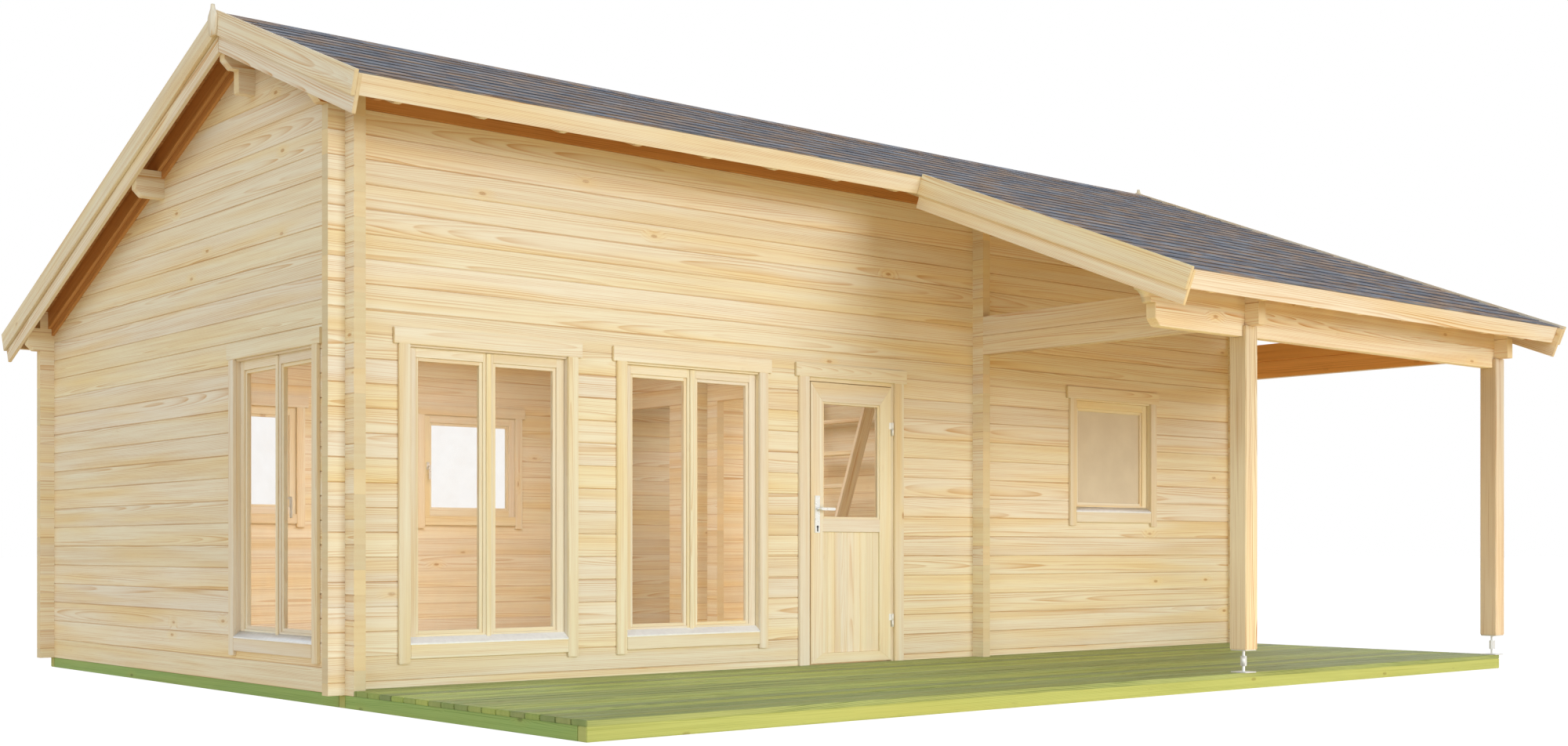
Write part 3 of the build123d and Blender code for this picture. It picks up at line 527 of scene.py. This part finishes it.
# More orange pine: painted warm shade for the porch side of the right side beam.
PORCH_SHADE_PINE = wood(
    "porch_shade_pine", srgb(246, 186, 116), srgb(196, 128, 64), srgb(234, 168, 94), KNOT, END_PINE, streak=0.9,
)
FLOOR_PINE = wood(
    "floor_pine", srgb(232, 206, 158), srgb(196, 146, 84), srgb(222, 186, 128), KNOT, END_PINE,
)
DECK = wood(
    "deck_wood", srgb(198, 213, 128), srgb(108, 130, 58), srgb(196, 198, 104), srgb(96, 92, 44),
    srgb(158, 176, 96), streak=1.4, vary=0.32,
)
BEAM_FRONT = wood(
    "edge_beam", srgb(186, 196, 124), srgb(146, 158, 80), srgb(184, 188, 112), srgb(128, 116, 60),
    srgb(186, 190, 120), streak=1.0,
)
# A darker, greener copy of the beam wood: painted shade for the cross beams, seen from the side.
BEAM_SIDE_SHADED = wood(
    "cross_beam", srgb(154, 182, 106), srgb(112, 142, 68), srgb(162, 174, 94), srgb(100, 104, 50),
    srgb(158, 172, 108), streak=1.0,
)
SHINGLE = shingle_finish("shingle")
SILL = metal_finish("sill_metal", srgb(244, 245, 246), metallic=0.1, rough=0.38)
WHITE_METAL = metal_finish("white_metal", srgb(250, 249, 246), metallic=0.0, rough=0.35)
HANDLE = metal_finish("handle_metal", srgb(240, 241, 242), metallic=0.35, rough=0.3)
ZINC = metal_finish("zinc_steel", srgb(214, 217, 218), metallic=0.5, rough=0.42)
DARK = metal_finish("keyhole_metal", srgb(60, 60, 62), metallic=0.6, rough=0.5)
GLASS = glass_finish("glass", clear=0.97)
FROSTED = glass_finish("frosted_glass", clear=0.06)


class Build:
    """One mesh under construction, whose faces can carry their board's grain."""

    def __init__(self):
        self.bm = bmesh.new()
        self.grain = self.bm.loops.layers.float_vector.new("grain")
        self.tone = self.bm.loops.layers.float_vector.new("tone")

    def paint(self, faces, along, across, centre, seed):
        """Gives faces the grain of one board that runs along a direction."""
        chance = Random(seed)
        start, first, second = chance.uniform(0, GRAIN_START), chance.random(), chance.random()
        deep = along.cross(across)
        for face in faces:
            end = 1.0 if abs(face.normal.dot(along)) > END_FACING else 0.0
            for loop in face.loops:
                p = loop.vert.co - centre
                loop[self.grain] = (p.dot(along) + start, p.dot(across), p.dot(deep))
                loop[self.tone] = (first, end, second)

    def prism(self, outline, shift, ease, along, seed):
        """A board: an outline of points run along a shift, with eased edges."""
        before = set(self.bm.faces)
        low = [self.bm.verts.new(p) for p in outline]
        high = [self.bm.verts.new(Vector(p) + Vector(shift)) for p in outline]
        count = len(outline)
        made = [self.bm.faces.new(low[::-1]), self.bm.faces.new(high)]
        for k in range(count):
            n = (k + 1) % count
            made.append(self.bm.faces.new((low[k], low[n], high[n], high[k])))
        bmesh.ops.recalc_face_normals(self.bm, faces=made)
        if ease:
            edges = list(dict.fromkeys(e for face in made for e in face.edges))
            bmesh.ops.bevel(self.bm, geom=edges, offset=ease, segments=1, affect="EDGES", clamp_overlap=True)
        faces = [face for face in self.bm.faces if face not in before]
        self.bm.normal_update()
        verts = {v for face in faces for v in face.verts}
        self.paint(faces, *board_axes(verts, Vector(along)), seed)
        return faces

    def mark_shade_ends(self, faces, way):
        """Marks the faces that look a way as ends, and no others."""
        for face in faces:
            for loop in face.loops:
                first, _, second = loop[self.tone]
                loop[self.tone] = (first, float(face.normal.dot(way) > END_FACING), second)

    def bar(self, corner, size, ease, along, seed):
        """A straight board from a corner, with eased edges."""
        (x, y, z), (a, b, c) = corner, size
        outline = [(x, y, z), (x + a, y, z), (x + a, y + b, z), (x, y + b, z)]
        return self.prism(outline, (0, 0, c), ease, along, seed)

    def piece(self, name, finish, slot, replaces=(), body="cabin"):
        """Ends the mesh as a piece that rides on a body and stands for CAD nodes."""
        mesh = bpy.data.meshes.new(name)
        self.bm.normal_update()
        self.bm.to_mesh(mesh)
        self.bm.free()
        mesh.materials.append(finish)
        made = bpy.data.objects.new(name, mesh)
        bpy.context.scene.collection.objects.link(made)
        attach(made, body)
        if replaces:
            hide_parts(*replaces)
        return made


def board_axes(verts, along):
    """Grain, face and middle of a board from its points: the face runs along its wider way."""
    points = [v.co for v in verts]
    along = along.normalized()
    upright = abs(along.z) >= END_FACING
    first = along.cross(Vector((1, 0, 0) if upright else (0, 0, 1))).normalized()
    second = along.cross(first)
    spans = []
    for way in (first, second):
        reach = [p.dot(way) for p in points]
        spans.append((max(reach) - min(reach), way))
    across = max(spans, key=lambda s: s[0])[1]
    low = Vector([min(p[k] for p in points) for k in range(3)])
    high = Vector([max(p[k] for p in points) for k in range(3)])
    return along, across, (low + high) / 2


def islands(faces):
    """Groups of faces that hang together, in the order of their first faces."""
    left, groups = dict.fromkeys(faces), []
    for first in list(left):
        if first not in left:
            continue
        del left[first]
        group, reach = [], [first]
        while reach:
            face = reach.pop()
            group.append(face)
            for edge in face.edges:
                for other in edge.link_faces:
                    if other in left:
                        del left[other]
                        reach.append(other)
        groups.append(sorted(group, key=lambda f: f.index))
    return groups


def longest_edge(faces):
    """Direction of the longest edge of a solid, which is a board's grain."""
    edge = max((e for f in faces for e in f.edges), key=lambda e: round(e.calc_length(), EDGE_DIGITS))
    return edge.verts[1].co - edge.verts[0].co


def cut_faces(bm, place, way):
    """Cuts every face of a mesh along a plane."""
    everything = bm.verts[:] + bm.edges[:] + bm.faces[:]
    bmesh.ops.bisect_plane(bm, geom=everything, dist=WELD, plane_co=place, plane_no=way)


def dressed(node, finish, slot, along=None, ease=EASE, rows=None, body="cabin"):
    """A copy of a CAD node with grain, and with eased edges or parted into rows.

    rows = (axis, start, pitch) gives each log or board of the node its own grain.
    """
    made = Build()
    made.bm.from_mesh(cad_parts[node].data)
    bm = made.bm
    made.grain = bm.loops.layers.float_vector["grain"]
    made.tone = bm.loops.layers.float_vector["tone"]
    bmesh.ops.remove_doubles(bm, verts=bm.verts[:], dist=WELD)
    bmesh.ops.dissolve_limit(bm, angle_limit=FLAT_ANGLE, verts=bm.verts[:], edges=bm.edges[:])
    if rows:
        axis, start, pitch = rows
        reach = [v.co[axis] for v in bm.verts]
        normal = Vector([float(k == axis) for k in range(3)])
        for k in range(int((min(reach) - start) / pitch), int((max(reach) - start) / pitch) + 1):
            cut_faces(bm, normal * (start + k * pitch), normal)
    elif ease:
        sharp = [e for e in bm.edges if e.is_manifold and e.calc_face_angle() > SHARP_ANGLE]
        bmesh.ops.bevel(bm, geom=sharp, offset=ease, segments=2, affect="EDGES", clamp_overlap=True)
    bm.normal_update()
    bm.faces.index_update()
    for count, group in enumerate(islands(bm.faces)):
        verts = {v for face in group for v in face.verts}
        grain, across, centre = board_axes(verts, Vector(along) if along else longest_edge(group))
        if rows:
            lines = {}
            for face in group:
                line = math.floor((face.calc_center_median()[axis] - start) / pitch)
                lines.setdefault(line, []).append(face)
            for line, faces in lines.items():
                centre[axis] = start + (line + 0.5) * pitch
                made.paint(faces, grain, normal, centre.copy(), f"{node} {count} {line}")
        else:
            made.paint(group, grain, across, centre, f"{node} {count}")
    return made.piece(node + "_look", finish, slot, [node], body)


def refinish(piece, finish, chosen):
    """Gives the chosen faces of a piece another finish."""
    piece.data.materials.append(finish)
    for face in piece.data.polygons:
        if chosen(face):
            face.material_index = 1


def parted(piece, place, way):
    """Cuts the faces of a piece along a plane, so that each side can take its own finish."""
    bm = bmesh.new()
    bm.from_mesh(piece.data)
    cut_faces(bm, place, way)
    bm.to_mesh(piece.data)
    bm.free()


def shaded_top_log(face):
    """Whether a face of the front wall is the outside of its top log, which takes painted shade from the
    eave.
    """
    return face.center.z > TOP_LOG and face.normal.y < -SIDE_FACING


def in_porch_shade(face):
    """Whether a face of the side beams is the porch side of the right one, which takes painted warm shade.
    """
    right_beam = face.center.x > RIGHT - WALL_T - EASE
    return right_beam and face.center.y > PORCH_FRONT and face.normal.x < -SIDE_FACING


def shaded_past_walls(face):
    """Whether a face of the rafters lies outside the gable walls, where they take painted shade."""
    return not LEFT < face.center.x < RIGHT


X_WAY, Y_WAY, Z_WAY = (1, 0, 0), (0, 1, 0), (0, 0, 1)
TOP_LOG = LONG_WALL_START + TOP_ROW * LOG
LONG_ROWS = (2, LONG_WALL_START, LOG)
GABLE_ROWS = (2, GABLE_WALL_START, LOG)

# Log walls, parted into their logs
for node in ("front_wall_left", "front_wall_right", "rear_wall", "cross_wall"):
    dressed(node, LOG_PINE, "pine_log", X_WAY, rows=LONG_ROWS)
upper = dressed("front_wall_upper", LOG_PINE, "pine_log", X_WAY, rows=LONG_ROWS)
# The outside of the top log takes the darker, more orange pine: painted shade under the eave.
refinish(upper, SHADED_PINE, shaded_top_log)
for node in ("gable_wall_left", "gable_wall_right", "partition_piers", "partition_upper"):
    dressed(node, LOG_PINE, "pine_log", Y_WAY, rows=GABLE_ROWS)
side_beams = dressed("terrace_side_beams", LOG_PINE, "pine_log", Y_WAY, rows=GABLE_ROWS)
parted(side_beams, (0, PORCH_FRONT, 0), Y_WAY)
# The porch side of the right side beam takes painted warm shade.
refinish(side_beams, PORCH_SHADE_PINE, in_porch_shade)
dressed("floor", FLOOR_PINE, "pine_floor", X_WAY, rows=(1, FRONT_FACE, FLOOR_BOARD))

# Timbers and boards
for node in ("ridge_beam", "mid_purlin", "terrace_beam_lower", "terrace_beam_upper"):
    dressed(node, PINE, "pine_log", X_WAY)
dressed("posts", POST_PINE, "pine_log", Z_WAY, ease=POST_EASE)
for side in ("front", "rear"):
    rafters = dressed(f"rafters_{side}", PINE, "pine_roof")
    # Rafter faces outside the gable walls take the darker, more orange pine: painted shade under the gable
    # overhang.
    refinish(rafters, SHADED_PINE, shaded_past_walls)
for place in ("inner", "outer"):
    for side in ("front", "rear"):
        dressed(f"{place}_gable_boards_{side}", PINE, "pine_trim")
dressed("eave_boards", PINE, "pine_trim", X_WAY)
# The gable laths take the darker, more orange pine: painted shade under the gable overhang.
dressed("gable_laths", SHADED_PINE, "pine_trim", ease=FINE_EASE)
dressed("finials", TRIM, "pine_trim", Z_WAY, ease=FINE_EASE)
for node in ("trim_sides", "trim_heads", "trim_bottoms"):
    dressed(node, TRIM, "pine_trim")
dressed("door_jambs", TRIM, "pine_trim", Z_WAY)
dressed("door_head_and_threshold", TRIM, "pine_trim", X_WAY)
dressed("deck_boards", DECK, "deck_wood", X_WAY, ease=BOARD_EASE)
dressed("ground_long_beams", BEAM_FRONT, "treated_beam", X_WAY, ease=BOARD_EASE)
dressed("ground_cross_beams", BEAM_SIDE_SHADED, "treated_beam", Y_WAY, ease=BOARD_EASE)
dressed("ladder_strings", PINE, "pine_floor")
dressed("ladder_treads", PINE, "pine_floor", Y_WAY)

# Metal
dressed("window_sills", SILL, "sill_metal", ease=METAL_EASE)
dressed("post_feet", ZINC, "zinc_steel", ease=METAL_EASE)
dressed("door_hinges_frame", WHITE_METAL, "white_metal", Z_WAY, ease=METAL_EASE)
dressed("door_hinges_leaf", WHITE_METAL, "white_metal", Z_WAY, ease=METAL_EASE, body="door")
dressed("door_handle_plates", HANDLE, "handle_metal", Z_WAY, ease=HANDLE_EASE, body="door")
dressed("lever_handle", HANDLE, "handle_metal", X_WAY, ease=HANDLE_EASE, body="lever")


# Glass
def window_panes(name, finish, terrace):
    """The pane that looks onto the terrace, or all the others."""
    panes = Build()
    panes.bm.from_mesh(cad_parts["window_panes"].data)
    out = []
    for pane in islands(panes.bm.faces):
        middle = sum((face.calc_center_median() for face in pane), Vector()) / len(pane)
        if (middle.x > PARTITION and middle.y < 0) != terrace:
            out += pane
    bmesh.ops.delete(panes.bm, geom=out, context="FACES")
    panes.piece(name, finish, "glass", ["window_panes"])


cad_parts["door_pane"].data.materials.clear()
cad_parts["door_pane"].data.materials.append(GLASS)
window_panes("window_panes_clear", GLASS, False)
window_panes("window_pane_frosted", FROSTED, True)


# Roof
def on_slope(side, x, down, out):
    """Point on a roof slope: down from the ridge, out square to the rafters' underside."""
    y = max(down * math.cos(PITCH) + out * math.sin(PITCH), 0)
    return Vector((x, side * y, APEX - down * math.sin(PITCH) + out * math.cos(PITCH)))


def roof_boards(node, side, x0, x1, top, eave):
    """Matched boards laid along the house, with a V joint below."""
    made = Build()
    under, over = RAFTER_H, RAFTER_H + BOARD_T
    rows = math.ceil((eave - top) / BOARD_W)
    for row in range(rows):
        low = eave - row * BOARD_W
        high = max(low - BOARD_W, top)
        section = [(high, under + BOARD_GROOVE), (high + BOARD_GROOVE, under), (low - BOARD_GROOVE, under)]
        section += [(low, under + BOARD_GROOVE), (low, over), (high, over)]
        outline = [on_slope(side, x0, down, out) for down, out in section]
        made.prism(outline, (x1 - x0, 0, 0), 0, X_WAY, f"{node} {row}")
    # The boards take the darker, more orange pine: painted warm shade on their undersides.
    made.piece(node + "_look", SHADED_PINE, "pine_roof", [node])


RIDGE_TOP = -(RAFTER_H + BOARD_T) * math.tan(PITCH)
roof_boards("roof_boards_rear", 1, ROOF_LEFT, ROOF_RIGHT, RIDGE_TOP, LONG_SLOPE)
roof_boards("roof_boards_front", -1, ROOF_LEFT, ROOF_RIGHT, RIDGE_TOP, MAIN_SLOPE)
roof_boards("roof_boards_terrace", -1, TERRACE_ROOF, ROOF_RIGHT, MAIN_SLOPE, LONG_SLOPE)


def shingle_rows(made, side, x0, x1, eave, top, seed):
    """Courses of tabs from the long eave up; each tab is thick at its lower edge."""
    base = RAFTER_H + BOARD_T + UNDERLAY
    last = LONG_SLOPE + EAVE_BOARD_T
    downhill = Vector((0, side * math.cos(PITCH), -math.sin(PITCH)))
    for row in range(math.ceil((last - top) / COURSE)):
        low = min(last - row * COURSE, eave)
        high = max(last - (row + 1) * COURSE - COURSE_LAP, top)
        if low - high < COURSE_LAP + UNDERLAY:
            continue
        chance = Random(f"{seed} {row}")
        x = ROOF_LEFT - TAB_W * (0.5 * (row % 2) + chance.uniform(0, TAB_SHIFT)) - TAB_W
        while x < x1:
            a, b = max(x, x0), min(x + TAB_W - TAB_GAP, x1)
            if b - a > TAB_GAP:
                wedge = [(high, base), (low, base), (low, base + TAB_BUTT), (high, base + TAB_TOP)]
                outline = [on_slope(side, a, down, out) for down, out in wedge]
                faces = made.prism(outline, (b - a, 0, 0), 0, X_WAY, f"{seed} {row} {x:.2f}")
                # Marks the lower edges of the tabs, which take painted shade.
                made.mark_shade_ends(faces, downhill if low < eave else Vector())
            x += TAB_W
    sheet = [(top, base - UNDERLAY), (eave, base - UNDERLAY), (eave, base + TAB_TOP), (top, base + TAB_TOP)]
    made.prism([on_slope(side, x0, down, out) for down, out in sheet], (x1 - x0, 0, 0), 0, X_WAY, seed)


SKIN_L, SKIN_R = ROOF_LEFT - GABLE_BOARD_T, ROOF_RIGHT + GABLE_BOARD_T
SKIN_TERRACE = TERRACE_ROOF - GABLE_BOARD_T
shingles = Build()
shingle_rows(shingles, 1, SKIN_L, SKIN_R, LONG_SLOPE + EAVE_BOARD_T, 0, "rear")
shingles.piece("shingles_rear_look", SHINGLE, "shingle", ["shingles_rear"])
shingles = Build()
shingle_rows(shingles, -1, SKIN_L, SKIN_TERRACE, MAIN_SLOPE + EAVE_BOARD_T, 0, "front")
shingle_rows(shingles, -1, SKIN_TERRACE, SKIN_R, LONG_SLOPE + EAVE_BOARD_T, 0, "front")
cap_count = round((SKIN_R - SKIN_L) / COURSE)
cap_step = (SKIN_R - SKIN_L) / cap_count
cap_low = RAFTER_H + BOARD_T + TAB_BUTT
cap_high = cap_low + CAP_T
ridge = -cap_low * math.tan(PITCH)
cap = [(ridge, cap_low), (CAP_W, cap_low), (CAP_W, cap_high), (ridge, cap_high)]
for k in range(cap_count):
    for side in (1, -1):
        outline = [on_slope(side, SKIN_L + k * cap_step, down, out) for down, out in cap]
        shingles.prism(outline, (cap_step - TAB_GAP, 0, 0), 0, X_WAY, f"cap {k}")
shingles.piece("shingles_front_look", SHINGLE, "shingle", ["shingles_front"])


# Windows: members in a wall's own frame, u along it, d inwards from its outer face
def in_wall(wall, where):
    """Map from a wall's own frame to the house, and the wall's direction."""
    if wall == "front":
        return lambda u, d, z: (where + u, FRONT_FACE + d, z), X_WAY
    if wall == "rear":
        return lambda u, d, z: (where - u, REAR_FACE - d, z), X_WAY
    return lambda u, d, z: (LEFT + d, where - u, z), Y_WAY


def member(made, to_house, u0, u1, d0, d1, z0, z1, along, seed, ease=FINE_EASE):
    """One straight member of a frame."""
    outline = [to_house(u, d, z0) for u, d in ((u0, d0), (u1, d0), (u1, d1), (u0, d1))]
    made.prism(outline, (0, 0, z1 - z0), ease, along, seed)


def frame_of_four(made, to_house, way, box, depth, widths, seed):
    """Two stiles over the full height and two rails between them."""
    (u0, u1, z0, z1), (d0, d1), (left, right, low, high) = box, depth, widths
    member(made, to_house, u0, u0 + left, d0, d1, z0, z1, Z_WAY, seed + " left")
    member(made, to_house, u1 - right, u1, d0, d1, z0, z1, Z_WAY, seed + " right")
    member(made, to_house, u0 + left, u1 - right, d0, d1, z0, z0 + low, way, seed + " low")
    member(made, to_house, u0 + left, u1 - right, d0, d1, z1 - high, z1, way, seed + " high")


casings, sashes, handles = Build(), Build(), Build()
for count, (wall, where, width, bottom, double) in enumerate(WINDOWS):
    to_house, way = in_wall(wall, where)
    half = width / 2
    clear = half - JAMB_T
    low, high = bottom + CASING_SILL, HEAD - CASING_HEAD
    sides = (JAMB_T, JAMB_T, CASING_SILL, CASING_HEAD)
    frame_of_four(casings, to_house, way, (-half, half, bottom, HEAD), (0, WALL_T), sides, f"casing {count}")
    leaves = [(-clear, clear, STILE, STILE)]
    if double:
        leaves = [(-clear, 0, STILE, MEETING), (0, clear, MEETING, STILE)]
    for leaf, (u0, u1, left, right) in enumerate(leaves):
        u0, u1 = u0 + SASH_GAP / 2, u1 - SASH_GAP / 2
        seed = f"sash {count} {leaf}"
        widths = [w - BEAD_W for w in (left, right, STILE, STILE)]
        frame_of_four(sashes, to_house, way, (u0, u1, low, high), (SASH_IN, WALL_T), widths, seed)
        inner = (u0 + widths[0], u1 - widths[1], low + widths[2], high - widths[3])
        frame_of_four(sashes, to_house, way, inner, (BEAD_IN, BEAD_BACK), (BEAD_W,) * 4, seed + " bead")
    if double:
        depth = (SASH_IN - COVER_T, SASH_IN)
        reach = (low + SASH_GAP, high - SASH_GAP)
        cover = (-COVER_W / 2, COVER_W / 2, *depth, *reach)
        member(sashes, to_house, *cover, Z_WAY, f"cover {count}", BOARD_EASE)
    grip = 0.0 if double else clear - STILE / 2
    middle = (low + high) / 2
    for seed, wide, near, away, below, above, ease in HANDLE_PARTS:
        box = (grip - wide, grip + wide, WALL_T + near, WALL_T + away, middle - below, middle + above)
        member(handles, to_house, *box, Z_WAY, seed, ease)
casings.piece("window_casings_look", TRIM, "pine_trim", ["window_casings"])
sashes.piece("window_sashes_look", TRIM, "pine_trim", ["window_sashes"])
handles.piece("window_handles", HANDLE, "handle_metal")


# Door leaf with mitred corners, beads and a boarded panel
def in_house(u, d, z):
    """The door's members are placed in the house's own frame."""
    return u, d, z


leaf = Build()
GLASS_L, GLASS_R = LEAF_L + LEAF_STILE, LEAF_R - LEAF_STILE
outer = [(LEAF_L, LEAF_BOTTOM), (LEAF_R, LEAF_BOTTOM), (LEAF_R, LEAF_TOP), (LEAF_L, LEAF_TOP)]
inner = [(GLASS_L, PANEL_BOTTOM), (GLASS_R, PANEL_BOTTOM), (GLASS_R, GLASS_TOP), (GLASS_L, GLASS_TOP)]
for k, way in enumerate((X_WAY, Z_WAY, X_WAY, Z_WAY)):
    n = (k + 1) % 4
    outline = [(x, LEAF_FACE, z) for x, z in (outer[k], outer[n], inner[n], inner[k])]
    leaf.prism(outline, (0, LEAF_BACK - LEAF_FACE, 0), FINE_EASE, way, f"leaf {k}")
rail = (GLASS_R - GLASS_L, LEAF_BACK - LEAF_FACE, MID_TOP - MID_BOTTOM)
leaf.bar((GLASS_L, LEAF_FACE, MID_BOTTOM), rail, FINE_EASE, X_WAY, "leaf mid")
glazing = (GLASS_L, GLASS_R, MID_TOP, GLASS_TOP)
outside = (LEAF_FACE + DOOR_BEAD_IN, LEAF_FACE + DOOR_BEAD_DEPTH)
inside = (LEAF_BACK - DOOR_BEAD_DEPTH, LEAF_BACK - DOOR_BEAD_IN)
for depth in (outside, inside):
    frame_of_four(leaf, in_house, X_WAY, glazing, depth, (DOOR_BEAD,) * 4, f"bead {MID_TOP} {depth[0]}")
leaf.piece("door_leaf_look", TRIM, "pine_trim", ["door_leaf"], "door")
panel = Build()
board = (GLASS_R - GLASS_L) / PANEL_BOARDS
front = (LEAF_FACE + LEAF_BACK - PANEL_T) / 2
for k in range(PANEL_BOARDS):
    corner = (GLASS_L + k * board, front, PANEL_BOTTOM)
    panel.bar(corner, (board, PANEL_T, MID_BOTTOM - PANEL_BOTTOM), BOARD_EASE, Z_WAY, f"panel {k}")
panel.piece("door_panel_look", TRIM, "pine_trim", ["door_panel"], "door")
keyhole = Build()
turns = [math.tau * k / KEY_SIDES for k in range(KEY_SIDES)]
outside = (LEAF_FACE - KEY_OUT, LEAF_FACE - KEY_IN)
inside = (LEAF_BACK + KEY_IN, LEAF_BACK + KEY_OUT)
for y0, y1 in (outside, inside):
    circle = [(KEY_X + KEY_R * math.cos(a), y0, KEY_Z + KEY_R * math.sin(a)) for a in turns]
    keyhole.prism(circle, (0, y1 - y0, 0), KEY_EASE, Z_WAY, "key")
    corner = (KEY_X - KEY_SLOT_W / 2, y0, KEY_Z - KEY_SLOT_DROP)
    keyhole.bar(corner, (KEY_SLOT_W, y1 - y0, KEY_SLOT_H), KEY_EASE, Z_WAY, "key slot")
keyhole.piece("keyholes", DARK, "handle_metal", body="door")


# Stage, light and camera
def seen_rays(tree):
    """Socket that is 1 for rays that show the backdrop itself: straight, mirrored or through glass."""
    rays = tree.nodes.new("ShaderNodeLightPath").outputs
    seen = rays["Is Camera Ray"]
    for kind in ("Is Glossy Ray", "Is Transmission Ray"):
        either = tree.nodes.new("ShaderNodeMath")
        either.operation = "MAXIMUM"
        tree.links.new(seen, either.inputs[0])
        tree.links.new(rays[kind], either.inputs[1])
        seen = either.outputs[0]
    return seen


def floor_finish(name):
    """White where it is seen, and a warm bounce of light on the part."""
    f = Finish(name, Roughness=0.9, Specular_IOR_Level=0.0)
    seen = seen_rays(f.tree)
    f.colour(f.mix(seen, FLOOR_BOUNCE, FLOOR_SEEN))
    glow = f.node("ShaderNodeEmission", {"Color": f.mix(seen, GLOW_BOUNCE, WHITE), "Strength": GLOW})
    share = f.span(seen, 0, 1, GLOW_SHARE_BOUNCE, GLOW_SHARE_SEEN)
    both = f.node("ShaderNodeMixShader", {0: share, 1: f.bsdf.outputs[0], 2: glow.outputs[0]})
    f.feed(both.outputs[0], f.tree.nodes["Material Output"].inputs["Surface"])
    return f.material


def studio_world(name):
    """White where it is seen, and a soft sky for the part."""
    world = bpy.data.worlds.new(name)
    world.use_nodes = True
    tree = world.node_tree
    sky = tree.nodes["Background"]
    sky.inputs["Color"].default_value = SKY
    sky.inputs["Strength"].default_value = SKY_LEVEL
    backdrop = tree.nodes.new("ShaderNodeBackground")
    backdrop.inputs["Color"].default_value = WHITE
    mixed = tree.nodes.new("ShaderNodeMixShader")
    tree.links.new(seen_rays(tree), mixed.inputs[0])
    tree.links.new(sky.outputs[0], mixed.inputs[1])
    tree.links.new(backdrop.outputs[0], mixed.inputs[2])
    tree.links.new(mixed.outputs[0], tree.nodes["World Output"].inputs["Surface"])
    return world


def lamp(name, kind, direction, energy, colour):
    """A light that shines in a direction."""
    made = bpy.data.objects.new(name, bpy.data.lights.new(name, kind))
    made.data.energy = energy
    made.data.color = colour
    made.rotation_euler = Vector(direction).to_track_quat("-Z", "Y").to_euler()
    bpy.context.scene.collection.objects.link(made)
    return made


bpy.ops.mesh.primitive_plane_add(size=FLOOR_SIZE, location=(0, 0, -FLOOR_DROP))
floor = bpy.context.object
floor.name = "stage_floor"
floor.data.materials.append(floor_finish("stage_floor"))
bpy.context.scene.world = studio_world("studio")

for name, direction, energy, spread, colour in SUNS:
    lamp(name, "SUN", direction, energy, colour).data.angle = math.radians(spread)
bounce = lamp("bounce", "AREA", BOUNCE_WAY, BOUNCE_POWER, BOUNCE_COLOUR)
bounce.data.shape = "RECTANGLE"
bounce.data.size, bounce.data.size_y = BOUNCE_SIZE
bounce.location = BOUNCE_AT
bounce.visible_camera = bounce.visible_glossy = bounce.visible_transmission = False
for name, place, size, energy in ROOM_LIGHTS:
    room = lamp(name, "AREA", DOWN, energy, PLAIN_LIGHT)
    room.data.size = size
    room.location = place

lens = bpy.data.cameras.new("camera")
lens.lens = LENS
lens.sensor_width = SENSOR
lens.shift_y = LENS_SHIFT
lens.clip_end = CLIP_END
camera = bpy.data.objects.new("camera", lens)
camera.location = CAMERA_AT
camera.rotation_euler = (math.radians(CAMERA_TILT), 0, math.radians(CAMERA_TURN))
bpy.context.scene.collection.objects.link(camera)
bpy.context.scene.camera = camera
bpy.context.scene.view_settings.view_transform = "Standard"
